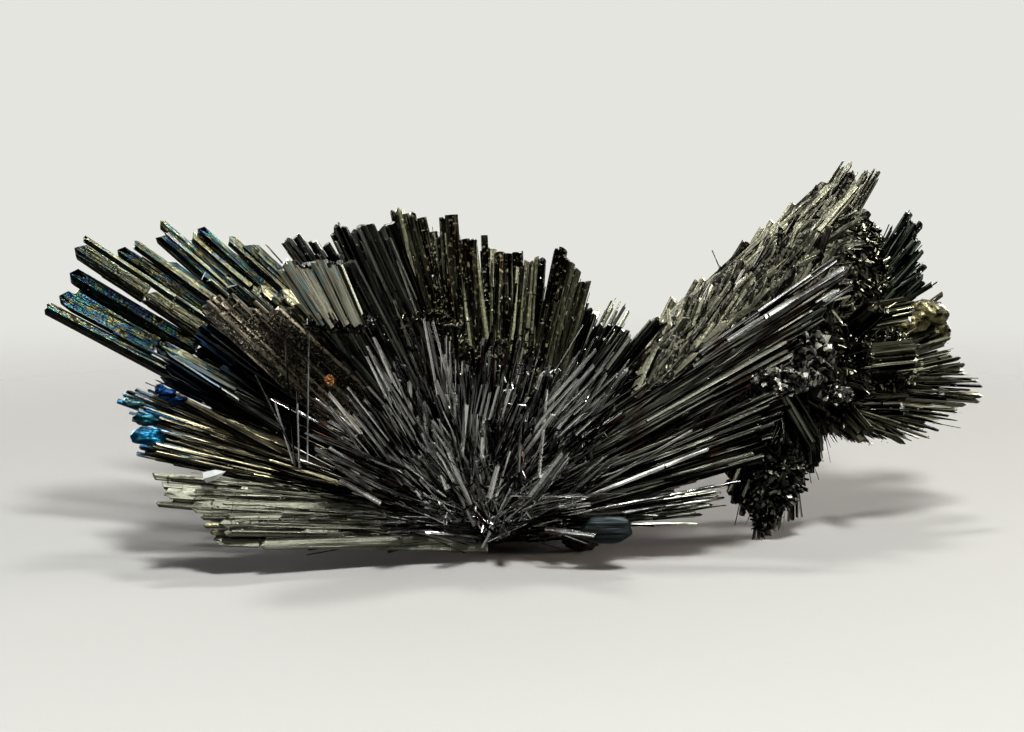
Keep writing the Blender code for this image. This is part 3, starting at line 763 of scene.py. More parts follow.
# ---------------------------------------------------------------------------------------------
# The block: a pack of square stibnite crystals, grown together and stepped at the top. Its front
# broke off over a black hollow, and left a pale face that looks to the front.
BLOCK = {
    "block_face": Bundle(
        (-8, -8, 10), (-6, -8, 10), (-21.6, -15, 30.6), (-16.4, -15, 30.8), 4, 1.9, 1.7, 0.01, "flat"),
    "block_stubs": Bundle(
        (-8, -5, 12), (-6, -5, 12), (-22.2, -11, 32.8), (-18.2, -11, 32.4), 4, 0.9, 0.8, 0.01, "flat"),
    "block_top": Bundle(
        (-6, -6, 10), (-4, -6, 10), (-17.0, -10, 33.9), (-12.8, -7, 33.7), 3, 2.0, 1.8, 0.01, "slant"),
}

# Plain dark grey metal with fine striae, hardly tarnished.
block_grey = stibnite("stibnite_block_grey", "#0b0c0a", "#85857a", 0.4, few=2.6, relief=0.12)
hollow_rim = crust("hollow_rim", (-16.2, -15.9, 24.7), (3.2, 0.7, 0.8), 220, (0.4, 1.4), (0.1, 0.45),
                   (0.0, 0.7))
BLOCK_HABIT = Habit(rib=0.5, step=0.4, laths=40, needles=3, flare=0.5, fine=(0.08, 0.4), grains=30)
piece_of("block", BLOCK, BLOCK_HABIT, block_grey, hollow_rim)

# The block's broken face: pale satin laths side by side, teal at the top, over a black hollow.
BLOCK_FACE_TOP = (Vector((-22.3, -16.6, 30.4)), Vector((-16.4, -16.6, 30.9)))
BLOCK_FACE_FOOT = (Vector((-18.6, -16.4, 25.0)), Vector((-13.9, -16.4, 24.6)))
BLOCK_FACE_LATHS = 26


def block_face():
    """Fine laths that touch, over two broad crystals, so that the face swells twice."""
    rng = random.Random("block_face")
    found = []
    for i in range(BLOCK_FACE_LATHS):
        share = i / (BLOCK_FACE_LATHS - 1)
        top = BLOCK_FACE_TOP[0].lerp(BLOCK_FACE_TOP[1], share)
        foot = BLOCK_FACE_FOOT[0].lerp(BLOCK_FACE_FOOT[1], share)
        turn = math.pi * (share * 2 % 1)
        swell = math.sin(turn)
        foot += (top - foot) * rng.uniform(-0.1, 0.2)
        top += (top - foot) * (0.06 * swell + rng.uniform(-0.16, 0.0))
        facing = TO_THE_LIGHT + Vector((-0.3 * math.cos(turn), 0, 0)) + ball(rng, 0.14)
        out = Vector((0, -0.5 * swell, 0))
        found.append(Crystal("lath", foot + out, top + out, facing, rng.uniform(0.25, 0.6), 0.5, 1,
                             rng.uniform(0.0, 0.9)))
    return found


# A fresh break gone satin: pale and soft, with a breath of teal film along its top.
block_satin = stibnite("stibnite_block_face_satin", "#15160f", "#8f8e7c", 0.44, few=1.5,
                       tarnish=("#6f8f90", "#8d8c7e", "#7d7058", "#55808f"), film=(29, 33))
joined("block_face", block_face(), block_satin)

# ---------------------------------------------------------------------------------------------
# The columns: upright, square crystals of stibnite that grew close together at the back of the
# centre. They are green-brown and dusted, and a black druse of short crystals covers their feet.
COLUMNS = {
    "columns_left": Bundle(
        (-5, -9, 8), (-3, -9, 8), (-11.4, -4, 34.8), (-9.0, -4, 34.2), 3, 1.3, 1.2, 0.01, "flat"),
    "columns_mid": Bundle(
        (-4, -8, 8), (-2, -8, 8), (-7.6, -3, 32.4), (-4.6, -3, 32), 3, 1.7, 1.5, 0.01, "flat"),
    "columns_peak": Bundle(
        (-4, -8, 8), (-4, -8, 8), (-6.2, -4, 34.1), (-6.2, -4, 34.1), 1, 2.0, 1.6, 0, "flat"),
    "columns_thin": Bundle(
        (-3, -8, 8), (-2, -8, 8), (-3.8, -3, 31.4), (-2.8, -2, 31.8), 2, 0.7, 0.6, 0, "flat"),
    "columns_wide": Bundle(
        (-2, -8, 8), (0, -8, 8), (-1.6, -2, 30.4), (0.1, -2, 30.3), 2, 1.7, 1.4, 0, "flat"),
    "columns_right": Bundle(
        (-1, -8, 8), (1, -8, 8), (1.0, -3, 29.4), (2.8, -4, 30.4), 3, 1.2, 1.0, 0.01, "slant"),
    "columns_lean": Bundle(
        (0, -8, 8), (1, -8, 8), (5.0, -6, 31.6), (7.2, -6, 28.2), 4, 1.3, 1.0, 0.01, "slant"),
    "columns_behind": Bundle(
        (-6, 2, 8), (3, 2, 8), (-15, 5, 30), (6, 5, 27.5), 6, 2.6, 2.0, 0.05, "slant"),
    "columns_far": Bundle(
        (-6, 4, 8), (3, 4, 8), (-18, 13, 27), (6, 15, 25), 6, 2.6, 2.0, 0.06, "slant"),
    "columns_fill": Bundle(
        (-8, 0, 8), (-6, 0, 8), (-24, 2, 25.5), (-15, 0, 29), 3, 2.6, 1.8, 0.04, "slant"),
}

# Green-brown metal with rusty streaks, where a pale dust shows as specks.
green_brown = stibnite("stibnite_columns_dusted", "#060705", "#6a6a56", 0.32, few=3.4,
                       dust="#6c6850", dusty=0.05, stain="#2c1812")
druse = crust("druse_left", (-8.5, -8.0, 20.5), (4.5, 1.6, 4.5), 700, (0.3, 1.1), (0.08, 0.32))
druse += crust("druse_mid", (-1.0, -7.5, 18.0), (5.0, 1.8, 4.0), 700, (0.3, 1.1), (0.08, 0.32))
COLUMN_HABIT = Habit(rib=0.75, step=0.3, laths=22, needles=2, flare=0.5, fine=(0.08, 0.32), grains=90)
piece_of("columns", COLUMNS, COLUMN_HABIT, green_brown, druse)

# ---------------------------------------------------------------------------------------------
# The front needles: fine stibnite needles, the last and freshest growth, that stand out to the
# front from one dark centre. Some grew side by side in packs, which glint as one.
FRONT = {
    "front_short": Bundle(
        (-6, -7, 5), (2, -7, 5), (-15, -16, 17), (6, -14, 17), 6, 1.5, 1.0, 0.12, "point"),
    "front_spread": Bundle(
        (-6, -7, 4), (2, -7, 4), (-18, -17, 12), (10, -15, 12), 4, 1.4, 1.0, 0.12, "point"),
    "front_low": Bundle(
        (-5, -7, 3), (2, -7, 3), (-13, -16, 5), (6, -15, 5), 4, 1.4, 1.0, 0.10, "point"),
    "front_high": Bundle(
        (-5, -7, 6), (2, -7, 6), (-12, -13.5, 22.5), (12, -14, 21), 4, 1.4, 1.0, 0.06, "point"),
}

# Where the front needles start, a little before the growth centre.
FRONT_CENTRE = Vector((-2.7, -9.3, 4.3))


def radiating(name, count, sweep, reach, lean, wides):
    """Free needles out of the growth centre, over a sweep of angles from upright, leaning to the
    front."""
    rng = random.Random(name)
    found = []
    for _ in range(count):
        turn = math.radians(rng.uniform(*sweep))
        way = Vector((math.sin(turn), -rng.uniform(*lean), math.cos(turn))).normalized()
        length = rng.uniform(*reach)
        start = FRONT_CENTRE + ball(rng, 1.0)
        low = start + way * length * rng.uniform(0.0, 0.6)
        high = start + (way + ball(rng, 0.06)) * length
        size = fine_width(rng, wides)
        form = rng.choice(("needle", "needle", "lath", "slant_rib"))
        found.append(Crystal(form, low, high, ball(rng, 0.7) + Vector((0, -1, 0)), size,
                             size * rng.uniform(0.4, 0.9), rng.choice((-1, 1)), rng.random()))
    return found


def packs(name, count, sweep, reach, lean, wides, lengths):
    """Packs of parallel laths that lie side by side and face one way, so that they glint as one."""
    rng = random.Random(name)
    found = []
    for _ in range(count):
        turn = math.radians(rng.uniform(*sweep))
        way = Vector((math.sin(turn), -rng.uniform(*lean), math.cos(turn)))
        start = FRONT_CENTRE + way * rng.uniform(*reach)
        axis = (way.normalized() + ball(rng, 0.08)).normalized()
        facing = TO_THE_LIGHT + ball(rng, 0.16)
        across = facing.cross(axis).normalized()
        size = rng.uniform(*wides)
        length = rng.uniform(*lengths)
        tone = rng.choice((0.3, 0.6, 0.85, 1.0))
        for i in range(rng.randint(3, 7)):
            low = start + across * (i * size * 1.35) + axis * (length * rng.uniform(-0.3, 0.2))
            high = low + (axis + ball(rng, 0.03)) * (length * rng.uniform(0.6, 1.1))
            found.append(Crystal("lath", low, high, facing + ball(rng, 0.1), size * rng.uniform(0.5, 1.1),
                                 size * 0.7, rng.choice((-1, 1)), tone * rng.uniform(0.7, 1.0)))
    return found


# Bare bright metal, silver where a face catches the light and black where it doesn't.
silver = stibnite("stibnite_needles_silver", "#020302", "#f6f7f1", 0.24, few=3.4, stain="#33201a")
front_needles = radiating("long", 100, (-40, 52), (10, 20), (0.0, 0.12), (0.1, 0.5))
front_needles += radiating("long_left", 24, (-70, -58), (12, 22), (0.0, 0.12), (0.1, 0.4))
front_needles += radiating("short", 460, (-85, 85), (4, 14), (0.02, 0.35), (0.06, 0.32))
front_needles += packs("packs_bold", 34, (-55, 50), (4, 14), (0.2, 0.45), (0.3, 0.6), (4, 10))
front_needles += packs("packs_high", 46, (-60, 50), (6, 13), (0.04, 0.2), (0.12, 0.36), (2.5, 7))
front_needles += packs("packs_low", 70, (-86, 84), (2, 9), (0.1, 0.4), (0.08, 0.3), (1.5, 5))
front_needles += crust("litter_centre", (-2.6, -8.8, 4.0), (2.9, 1.3, 1.7), 240, (0.3, 1.1),
                       (0.08, 0.3), (0.0, 0.6))
front_needles += crust("litter_low", (-2.7, -11.0, 7.4), (6.0, 2.0, 3.4), 300, (0.4, 1.4),
                       (0.06, 0.26), (0.0, 0.9))
front_needles += crust("litter_high", (0.0, -10.5, 14.0), (9.0, 2.4, 6.0), 420, (0.5, 2.0), (0.06, 0.26))
front_needles += by_hand("front_hand", ((1.9, -13.4, 7.4), (5.4, -13.2, 12.0), 1.2, 0.6, 1.0),
                         ((7.1, -11.4, 12.9), (11.0, -10.8, 15.3), 0.7, 0.4, 0.8),
                         ((-11.2, -12.6, 12.0), (-11.9, -12.2, 18.6), 0.35, 0.3, 0.9),
                         ((-10.4, -12.6, 11.6), (-10.8, -12.2, 18.9), 0.4, 0.3, 1.0),
                         ((-9.6, -12.6, 11.4), (-9.9, -12.2, 18.8), 0.45, 0.3, 0.8),
                         ((-8.9, -12.6, 11.0), (-9.1, -12.2, 18.2), 0.35, 0.3, 1.0),
                         ((-8.0, -12.8, 10.2), (-8.5, -12.3, 16.8), 0.4, 0.3, 0.9),
                         ((-5.2, -13.0, 11.0), (-5.6, -12.4, 17.6), 0.35, 0.3, 0.9),
                         ((-6.2, -13.4, 8.3), (-8.8, -13.0, 14.2), 0.6, 0.35, 0.9),
                         ((-4.0, -13.6, 6.8), (-6.6, -13.2, 13.0), 0.4, 0.3, 0.9),
                         ((-2.2, -13.8, 7.5), (-1.3, -13.6, 10.8), 0.5, 0.3, 1.0),
                         ((2.6, -13.2, 9.4), (3.4, -12.6, 18.0), 0.3, 0.3, 0.8),
                         ((0.6, -13.4, 10.0), (0.9, -12.8, 15.6), 0.3, 0.3, 0.9),
                         ((-20.8, -15.0, 10.8), (-21.8, -14.0, 24.0), 0.16, 0.1, 0.6),
                         ((-19.6, -15.0, 11.3), (-19.4, -14.0, 23.6), 0.16, 0.1, 0.7),
                         ((-20.2, -14.6, 10.6), (-24.6, -14.0, 19.5), 0.18, 0.1, 0.6),
                         ((-20.4, -14.6, 10.6), (-20.6, -14.0, 18.0), 0.18, 0.1, 0.8),
                         ((-21.0, -14.6, 11.0), (-22.8, -14.0, 17.0), 0.2, 0.1, 0.8),
                         ((-9.7, -14.0, 9.3), (-20.8, -14.0, 16.1), 0.4, 0.3, 0.6),
                         ((-8.9, -14.0, 9.4), (-19.1, -13.0, 17.1), 0.35, 0.3, 0.6))
FRONT_HABIT = Habit(rib=0.35, step=1.2, laths=16, needles=8, flare=0.8, fine=(0.06, 0.25), grains=10)
piece_of("front_needles", FRONT, FRONT_HABIT, silver, front_needles)

# The one warm spot, between the block and the brown slab: an iron stain on a few short crystals,
# rusty orange and rough, with next to no metal left to shine.
iron_stain = stibnite("iron_stain_orange", "#2e1a0c", "#94602a", 0.6, metal=0.2, few=1.0)
stained = crust("orange_spot", (-17.5, -13.4, 18.9), (0.35, 0.3, 0.5), 60, (0.25, 0.5), (0.15, 0.4))
joined("orange_spot", stained, iron_stain)

# ---------------------------------------------------------------------------------------------
# The back fan: plain blades of stibnite that grew from the same centre and lean away behind. They
# are grey-olive, and stand out of the front light.
BACK_FAN = {
    "back_pair": Bundle(
        (0, 5, 8), (3, 5, 8), (8.4, 22, 23.0), (13.4, 24, 23.0), 4, 1.3, 1.0, 0.04, "point"),
    "back_high": Bundle(
        (-6, 6, 8), (2, 6, 8), (-24, 21, 23), (5, 24, 21), 5, 2.5, 1.5, 0.06, "slant"),
    "back_mid": Bundle(
        (-8, 6, 6), (3, 6, 6), (-27, 24, 14), (9, 26.5, 13), 5, 2.5, 1.4, 0.07, "point"),
    "back_low": Bundle(
        (-8, 6, 4), (4, 6, 4), (-24, 22, 5), (13, 24, 5), 5, 2.0, 1.2, 0.08, "slant"),
}

# Lightly tarnished metal, an even olive-grey that still shows in the shade.
olive_grey = stibnite("stibnite_blades_olive", "#1c1d17", "#8a8c76", 0.34, few=2.0,
                      painted_shade_below=(-1.4, -0.7))
BACK_HABIT = Habit(rib=0.8, step=1.4, laths=8, needles=8, flare=1.4, fine=(0.1, 0.5), grains=8)
piece_of("back_fan", BACK_FAN, BACK_HABIT, olive_grey)

# ---------------------------------------------------------------------------------------------
# The right fan: long, straight laths and needles of stibnite that grew out low to the right. They
# are fresh and smooth, so most look black, and a few shine silver along their whole length.
RIGHT_FAN = {
    "lath_low": Bundle(
        (2, -10, 4), (2, -10, 4), (19.4, -9, 5.4), (22, -8, 7.4), 3, 1.0, 0.6, 0.02, "point"),
    "lath_mid": Bundle(
        (2, -9, 5), (2, -8, 6), (25, -9, 11), (29, -7, 18), 5, 1.3, 0.8, 0.04, "slant"),
    "lath_high": Bundle(
        (1, -8, 6), (1, -7, 7), (29, -6, 21), (34, -2, 28.5), 5, 1.4, 0.9, 0.03, "slant"),
    "steep_dark": Bundle(
        (0, -7, 7), (1, -6, 7), (9.5, -4, 23), (15, -1, 23.6), 4, 1.4, 0.9, 0.05, "slant"),
    "steep_behind": Bundle(
        (2, 0, 7), (4, 1, 7), (8, 4, 25), (15, 4, 21), 4, 2.2, 1.7, 0.05, "slant"),
    "right_low_back": Bundle(
        (4, 3, 5), (5, 2, 6), (18, 14, 6), (22, 12, 14), 4, 2.2, 1.6, 0.06, "slant"),
    "round_ended": Bundle(
        (1, -8, 3.4), (1, -6, 3), (11, -14, 5.2), (10.4, -8, 3.2), 3, 1.8, 1.0, 0, "chisel"),
}

# Smooth metal, black from most sides, with a rusty tint in streaks; painted shade darkens the faces that look
# down.
dark_laths = stibnite("stibnite_laths_dark", "#040503", "#828477", 0.28, few=5.0, stain="#2c1a14",
                      painted_shade_below=(-0.4, 0.25))
long_laths = by_hand("long_laths", ((4.6, -11.0, 6.0), (19.2, -10.6, 11.8), 0.42, 0.4, 0.66),
                     ((6.1, -11.4, 5.5), (22.3, -10.0, 8.4), 0.26, 0.3, 0.5),
                     ((5.2, -11.2, 6.4), (17.6, -10.4, 13.6), 0.3, 0.3, 0.6),
                     ((8.0, -10.6, 5.0), (20.8, -9.8, 6.8), 0.25, 0.3, 0.4),
                     ((3.2, -14.0, 4.4), (8.2, -15.0, 4.0), 0.6, 0.5, 0.5),
                     ((21.5, -3.0, 21.2), (33.1, -2.4, 28.4), 0.9, 0.6, 0.7),
                     ((22.2, -3.4, 20.1), (33.3, -2.6, 26.7), 0.7, 0.5, 0.7),
                     ((18.8, -2.8, 20.0), (32.3, -1.6, 29.3), 0.7, 0.5, 0.7),
                     ((24.7, -3.6, 21.3), (33.9, -2.8, 26.9), 0.6, 0.4, 0.5))
RIGHT_HABIT = Habit(rib=0.38, step=1.2, laths=26, needles=14, flare=0.9, fine=(0.08, 0.4), grains=16)
piece_of("right_laths", RIGHT_FAN, RIGHT_HABIT, dark_laths)
joined("right_long_laths", long_laths, silver)

# One broad lath with a rounded end, blue-grey, low in the front.
rounded_lump("round_lath", (((9.1, -14.5, 4.5), (2.6, 0.45, 1.4)),), "#0a0c0c", "#2f3536", 0.5,
             (9.09, 0.6667, 0.4348), uneven=0.16)

# ---------------------------------------------------------------------------------------------
# The wing: a tall slab that rises to the right, of stibnite flakes and laths that matted together
# as they grew over one another. Fine dust leaves it a sugary grey-brown.
WING = {
    "wing_edge": Bundle(
        (8, 3, 10), (20, 8, 16), (13.0, 6, 20.6), (33.0, 13, 35.6), 9, 2.4, 2.0, 0.01, "slant"),
    "wing_tip": Bundle(
        (24, 10, 20), (27, 11, 20), (35.6, 14, 38.0), (38.2, 16, 37.2), 2, 2.2, 1.6, 0, "point"),
    "wing_shoulder": Bundle(
        (28, 10, 20), (30, 10, 20), (36.4, 12, 33.8), (38.6, 12, 30.6), 3, 2.0, 1.6, 0.02, "slant"),
    "wing_face": Bundle(
        (10, -1, 9), (20, 1, 10), (24, 3, 28), (35, 5, 30), 7, 1.8, 1.2, 0.05, "slant"),
    "wing_flakes": Bundle(
        (14, 2, 14), (22, 4, 18), (19, 4, 25.5), (33, 8, 34), 6, 2.0, 1.2, 0.06, "slant"),
    "wing_back": Bundle(
        (10, 10, 8), (22, 14, 10), (22, 18, 24), (38, 20, 30), 5, 2.6, 1.8, 0.06, "slant"),
}
WING_SLOPE = Vector((0.74, 0.16, 0.62))


def flakes(name, low_edge, top_edge, count, reach, wides, loose):
    """Thin flakes matted together over a sheet between two edges, most of them along its slope."""
    rng = random.Random(name)
    found = []
    for _ in range(count):
        u, v = rng.random(), rng.random()
        low = Vector(low_edge[0]).lerp(Vector(low_edge[1]), u)
        spot = low.lerp(Vector(top_edge[0]).lerp(Vector(top_edge[1]), u), v)
        spot.y += rng.uniform(-1.2, 0.6)
        way = (WING_SLOPE + ball(rng, loose)).normalized()
        facing = Vector((-0.35, -0.9, 0.5)) + ball(rng, 0.45)
        length = rng.uniform(*reach)
        size = fine_width(rng, wides)
        found.append(Crystal(rng.choice(("lath", "broken", "slant_rib")), spot, spot + way * length, facing,
                             size, size * 0.3, rng.choice((-1, 1)), rng.random()))
    return found


wing_flakes = flakes("wing_sheet", ((12, -0.5, 15), (31, 1.5, 25)), ((13, 4, 19.5), (32, 9, 33)), 1000,
                     (1.2, 5.5), (0.15, 1.1), 0.3)
wing_flakes += flakes("wing_ridge", ((9, 3, 15.5), (28, 10, 30.5)), ((9.5, 4, 17.5), (28, 11, 32)), 280,
                      (3, 8), (0.15, 0.8), 0.03)
wing_flakes += flakes("wing_rim", ((10, 4, 17.0), (27, 10.4, 30.0)), ((10, 5, 18.0), (27, 11.4, 30.8)), 80,
                      (6, 11), (0.25, 0.7), 0.015)
wing_flakes += by_hand("wing_hand", ((31.0, 3.0, 31.6), (35.6, 7.0, 36.2), 0.7, 0.5, 1.0))
# Rough grey-brown metal, half under pale dust, so that it shines only in flecks.
matted = stibnite("stibnite_wing_matted", "#0a0a08", "#7e7d69", 0.4, metal=0.85, few=2.4,
                  dust="#6f6c5c", dusty=0.25, painted_shade_below=(-0.4, 0.15), relief=0.14)
WING_HABIT = Habit(rib=0.42, step=1.2, laths=20, needles=7, flare=0.5, fine=(0.1, 0.5), grains=80)
piece_of("wing", WING, WING_HABIT, matted, wing_flakes)

# ---------------------------------------------------------------------------------------------
# The right cluster: dark spikes, a rounded gold lump and a fan of needles, all of stibnite, which
# grew from one black mass at the end of the wing.
DARK_SPIKES = {
    "wing_spikes": Bundle(
        (33, 8, 20), (34, 8, 19), (41.8, 10, 33.8), (42.6, 9, 26.6), 6, 1.3, 1.0, 0.03, "slant"),
}
CLUSTER = {
    "gold_lump": Bundle(
        (36, 14, 17), (36, 14, 16), (46.4, 21, 22.8), (46.8, 20, 18.8), 4, 1.7, 1.5, 0.01, "flat"),
    "needles_high": Bundle(
        (34, 6, 16), (34, 6, 16), (46.8, 14, 17.8), (49.8, 14, 14.6), 5, 1.1, 0.9, 0.02, "point"),
    "needles_mid": Bundle(
        (33, 5, 15), (33, 5, 14), (50.0, 12, 13.2), (43.4, 8, 9.8), 5, 1.1, 0.9, 0.03, "point"),
    "needles_low": Bundle(
        (32, 4, 14), (31, 3, 14), (41, 7, 9.4), (32, 4, 9.8), 6, 1.2, 0.9, 0.03, "point"),
    "needles_far": Bundle(
        (34, 10, 16), (33, 9, 14), (47.6, 18, 17.4), (44, 14, 10.6), 5, 1.4, 1.0, 0.03, "point"),
    "needles_back": Bundle(
        (33, 12, 16), (32, 12, 14), (45, 24, 17), (38, 22, 9), 4, 1.4, 1.1, 0.05, "point"),
    "cluster_front": Bundle(
        (33, 5, 20), (33, 5, 14), (37, -1, 25), (36, -1, 11), 4, 2.2, 1.8, 0.10, "slant"),
    "cluster_side": Bundle(
        (35, 6, 22), (35, 6, 14), (42, 5, 24), (42, 4, 14), 3, 2.2, 1.8, 0.10, "slant"),
    "cluster_back": Bundle(
        (33, 10, 24), (33, 10, 14), (36, 19, 29), (34, 19, 10), 4, 2.4, 2.0, 0.08, "slant"),
}

# Black metal with a dull, greenish shine.
black_green = stibnite("stibnite_spikes_black_green", "#060807", "#565c50", 0.36, few=3.0)
SPIKE_HABIT = Habit(rib=0.5, step=1.4, laths=30, needles=44, flare=0.8, fine=(0.12, 0.6), grains=60)
piece_of("dark_spikes", DARK_SPIKES, SPIKE_HABIT, black_green)

# Dark metal that is pale gold where it is light, with painted shade on the sides that look down.
gold_dark = stibnite("stibnite_cluster_gold_dark", "#050604", "#a19f85", 0.32, few=2.3,
                     painted_shade_below=(-0.2, 0.4))
cluster_crust = []
for lump in ("right_mass", "wing_end", "right_cluster", "wing_root"):
    centre, half = CORE_LUMPS[lump]
    cluster_crust += crust(lump + "_crust", centre, half, 1300, (0.7, 2.2), (0.1, 0.5), (0.0, 1.0))
CLUSTER_HABIT = Habit(rib=0.5, step=1.0, laths=8, needles=14, flare=0.7, fine=(0.08, 0.35), grains=8)
piece_of("right_cluster", CLUSTER, CLUSTER_HABIT, gold_dark, cluster_crust)

# The rounded gold lump at the cluster's far end, smooth as if melted.
GOLD_LUMP = (((44.3, 19.6, 21.3), (2.3, 2.0, 1.5)), ((45.4, 20.4, 19.4), (1.5, 1.6, 1.9)),
             ((41.6, 18.0, 20.4), (2.6, 1.6, 1.1)))
rounded_lump("gold_lump", GOLD_LUMP, "#100f08", "#7d7755", 0.42)

# Pale crumbs that lie over the laths in front of the cluster: rough grey metal, each grain of which
# glints for itself.
crumbs = crust("crumbs_a", (26.4, -6.6, 17.8), (2.9, 1.0, 1.2), 200, (0.3, 0.9), (0.3, 1.2), (0.0, 0.7))
crumbs += crust("crumbs_b", (32.6, -0.6, 15.6), (1.7, 1.0, 0.8), 90, (0.3, 0.9), (0.3, 1.2), (0.0, 0.7))
crumbs += crust("crumbs_c", (29.8, -1.4, 19.4), (2.4, 1.0, 2.6), 170, (0.4, 1.5), (0.3, 1.1), (0.0, 0.8))
crumb_grey = stibnite("stibnite_crumbs_grey", "#0d0d0b", "#a3a297", 0.5, few=1.8)
joined("crumbs", crumbs, crumb_grey)

# ---------------------------------------------------------------------------------------------
# The foot: a short clump of black stibnite crystals that grew down under the cluster, to a blunt
# toe. The toe stands on the table and carries the right side of the spray.
FOOT = {
    "foot_clump": Bundle(
        (30, 4, 15), (27, 3, 14), (31.0, 4, 6.6), (22.0, -1, 4.4), 7, 1.9, 1.5, 0.03, "slant"),
    "foot_toe": Bundle(
        (28, 4, 12), (27, 3, 12), (26.8, 3, 0.8), (25.2, 3.5, -0.5), 2, 1.6, 1.5, 0, "point"),
    "foot_side": Bundle(
        (29, 5, 12), (26, 3, 12), (28.4, 4, 1.6), (24, 3, 2.2), 3, 1.5, 1.3, 0.02, "slant"),
    "foot_heel": Bundle(
        (29, 8, 12), (27, 8, 12), (31, 14, 5), (26, 13, 3.5), 3, 2.2, 1.6, 0.05, "slant"),
}

# Black metal, of which only the odd face is bright.
black_foot = stibnite("stibnite_foot_black", "#060706", "#7c7d6c", 0.34, few=5.0,
                      painted_shade_below=(-0.4, 0.2))
foot_crust = crust("foot_crust", *CORE_LUMPS["foot"], 900, (0.7, 2.2), (0.1, 0.5))
foot_crust += crust("foot_heap", (25.8, 1.4, 7.0), (3.4, 2.0, 3.6), 900, (0.8, 2.6), (0.15, 0.8))
foot_crust += crust("foot_tip", (25.8, 3.0, 3.0), (1.1, 1.0, 2.2), 300, (0.5, 1.8), (0.1, 0.5))
foot_crust += by_hand("foot_streak", ((27.0, 0.2, 15.8), (30.6, 0.6, 9.8), 1.0, 0.6, 1.0),
                      ((28.2, 0.4, 15.4), (31.0, 0.8, 11.0), 0.8, 0.5, 0.9))
FOOT_HABIT = Habit(rib=0.4, step=2.2, laths=16, needles=20, flare=1.0, fine=(0.1, 0.5), grains=20)
piece_of("foot", FOOT, FOOT_HABIT, black_foot, foot_crust)

# ---------------------------------------------------------------------------------------------
# The clear crystal: one stubby, colourless crystal of another mineral, like calcite, that grew last,
# on the left laths. Its solid's own mesh stays, and gets its finish here.
VEIL = 1.4286
CALCITE_IOR = 1.6

# Calcite, grown smooth: clear and glassy, with milky veils about a millimetre wide.
clear, clear_tree, clear_shader = new_material("clear_calcite")
clear_place = add(clear_tree, "ShaderNodeTexCoord").outputs["Object"]
veil = add(clear_tree, "ShaderNodeTexNoise", {"Scale": 1 / (VEIL * MM), "Detail": 3.0},
           {"Vector": clear_place}).outputs["Fac"]
milk = add(clear_tree, "ShaderNodeMix", {6: linear("#f2f4f0"), 7: linear("#b4b8b6")}, {0: veil},
           data_type="RGBA")
clear_tree.links.new(milk.outputs[2], clear_shader.inputs["Base Color"])
frost = add(clear_tree, "ShaderNodeMapRange", {"To Min": 0.05, "To Max": 0.3}, {"Value": veil}).outputs[0]
clear_tree.links.new(frost, clear_shader.inputs["Roughness"])
clear_shader.inputs["IOR"].default_value = CALCITE_IOR
clear_shader.inputs["Transmission Weight"].default_value = 0.5
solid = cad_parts["clear_crystal"]
solid.data.materials.clear()
solid.data.materials.append(clear)

# ---------------------------------------------------------------------------------------------
# The studio: a pale sheet of matt paper that fades into the backdrop, and soft light. The crystals
# mirror four soft boxes and the reflectors of the room, and four others light the paper.
FLOOR_RADIUS = 600.0
FLOOR_FADE = (70.0, 200.0)
PAPER = "#979793"
PAPER_IN_REFLECTIONS = "#83837f"
REFLECTOR = Vector((0.15, -0.75, 0.65))
BACK_REFLECTOR = Vector((0.1, 0.9, 0.25))

scene = bpy.context.scene
scene.view_settings.view_transform = "Standard"


def paper_floor():
    """A round sheet of matt paper, which gives soft shadows and fades out before its edge. What the
    crystals mirror of it is a little darker."""
    bm = bmesh.new()
    bmesh.ops.create_circle(bm, cap_ends=True, segments=64, radius=FLOOR_RADIUS * MM)
    mesh = bpy.data.meshes.new("floor")
    bm.to_mesh(mesh)
    bm.free()
    made, tree, shader = new_material("paper_matt")
    place = add(tree, "ShaderNodeTexCoord").outputs["Object"]
    far = add(tree, "ShaderNodeVectorMath", links={0: place}, operation="LENGTH").outputs["Value"]
    fade = add(tree, "ShaderNodeMapRange", {"From Min": FLOOR_FADE[0] * MM, "From Max": FLOOR_FADE[1] * MM,
                                            "To Min": 1.0, "To Max": 0.0},
               {"Value": far}, interpolation_type="SMOOTHSTEP")
    path = add(tree, "ShaderNodeLightPath").outputs["Is Camera Ray"]
    shade = add(tree, "ShaderNodeMix", {6: linear(PAPER_IN_REFLECTIONS), 7: linear(PAPER)}, {0: path},
                data_type="RGBA")
    tree.links.new(shade.outputs[2], shader.inputs["Base Color"])
    shader.inputs["Roughness"].default_value = 0.9
    shader.inputs["Specular IOR Level"].default_value = 0.1
    tree.links.new(fade.outputs[0], shader.inputs["Alpha"])
    mesh.materials.append(made)
    obj = bpy.data.objects.new("floor", mesh)
    scene.collection.objects.link(obj)


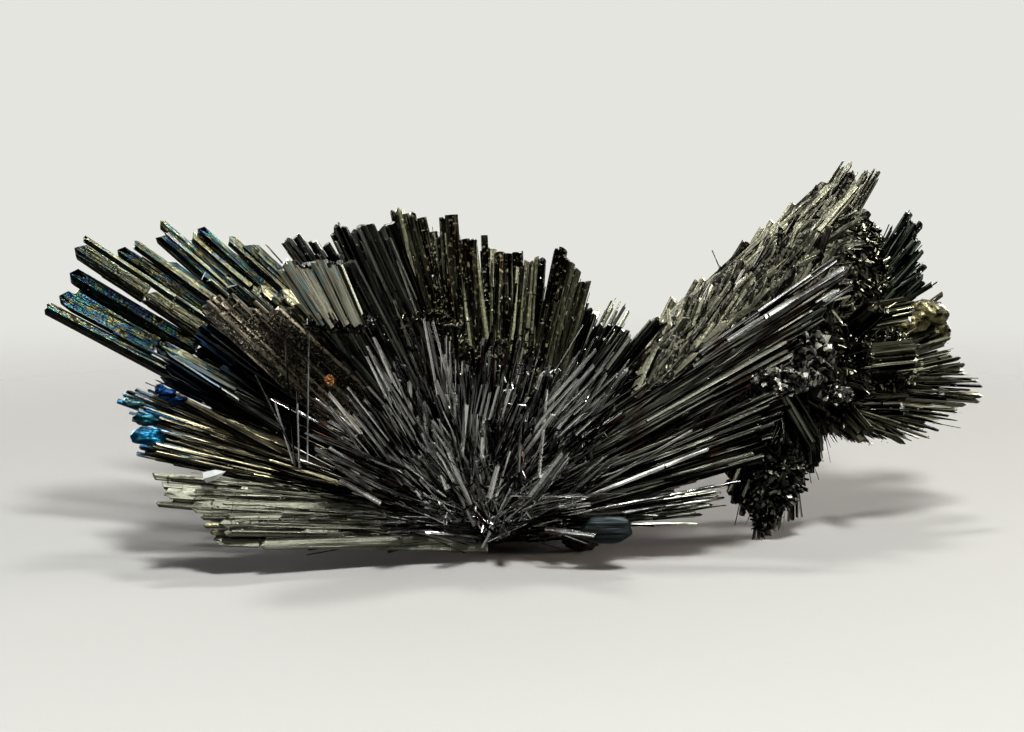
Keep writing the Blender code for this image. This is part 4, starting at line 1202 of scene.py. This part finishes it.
def backdrop():
    """The eye sees pale paper all round; the crystals see a dim room, with a bright ceiling and
    white reflectors, in front and above and, weaker, behind."""
    world = bpy.data.worlds.new("studio")
    scene.world = world
    world.cycles_visibility.diffuse = False
    world.use_nodes = True
    tree = world.node_tree
    tree.nodes.clear()
    path = add(tree, "ShaderNodeLightPath").outputs["Is Camera Ray"]
    way = add(tree, "ShaderNodeTexCoord").outputs["Generated"]
    height = add(tree, "ShaderNodeSeparateXYZ", links={0: way}).outputs["Z"]
    rise = add(tree, "ShaderNodeMapRange", {"From Min": 0.15, "From Max": 0.9, "To Min": 0.0, "To Max": 0.35},
               {"Value": height}, interpolation_type="SMOOTHSTEP").outputs[0]
    power = rise
    for card, edge, full, strength in ((REFLECTOR, 0.78, 0.93, 0.75), (BACK_REFLECTOR, 0.5, 0.9, 0.4)):
        near = add(tree, "ShaderNodeVectorMath", {1: card.normalized()}, {0: way}, operation="DOT_PRODUCT")
        glow = add(tree, "ShaderNodeMapRange", {"From Min": edge, "From Max": full, "To Min": 0.0,
                                                "To Max": strength},
                   {"Value": near.outputs["Value"]}, interpolation_type="SMOOTHSTEP").outputs[0]
        power = add(tree, "ShaderNodeMath", links={0: power, 1: glow}, operation="ADD").outputs[0]
    seen = add(tree, "ShaderNodeBackground", {"Color": linear("#e5e5df"), "Strength": 1.0})
    room = add(tree, "ShaderNodeBackground", {"Color": linear("#f4f2ec")}, {"Strength": power})
    mix = add(tree, "ShaderNodeMixShader", links={0: path, 1: room.outputs[0], 2: seen.outputs[0]})
    add(tree, "ShaderNodeOutputWorld", links={"Surface": mix.outputs[0]})


def soft_light(name, place, size, power, tint="#ffffff", mirrored=True):
    """A round soft box, which lights the crystals by its mirror image, or else only the paper."""
    data = bpy.data.lights.new(name, "AREA")
    data.shape = "DISK"
    data.size = size * MM
    data.energy = power
    data.color = linear(tint)[:3]
    obj = bpy.data.objects.new(name, data)
    obj.visible_glossy = mirrored
    obj.visible_diffuse = not mirrored
    obj.location = Vector(place) * MM
    obj.rotation_euler = (-Vector(place)).to_track_quat("-Z", "Y").to_euler()
    scene.collection.objects.link(obj)


WARM = "#ffeadc"
paper_floor()
backdrop()
soft_light("top_light", (0, 80, 430), 90, 1.9)
soft_light("front_light", (80, -300, 360), 100, 3.9)
soft_light("back_left_light", (-300, 330, 160), 240, 3.0)
soft_light("back_right_light", (300, 330, 160), 240, 3.0)
soft_light("paper_top", (0, 120, 420), 80, 1.1, mirrored=False)
soft_light("paper_front", (50, -300, 330), 80, 3.9, mirrored=False)
soft_light("paper_side", (430, 30, 50), 160, 2.7, WARM, mirrored=False)
soft_light("paper_back", (0, 430, 90), 260, 0.5, WARM, mirrored=False)
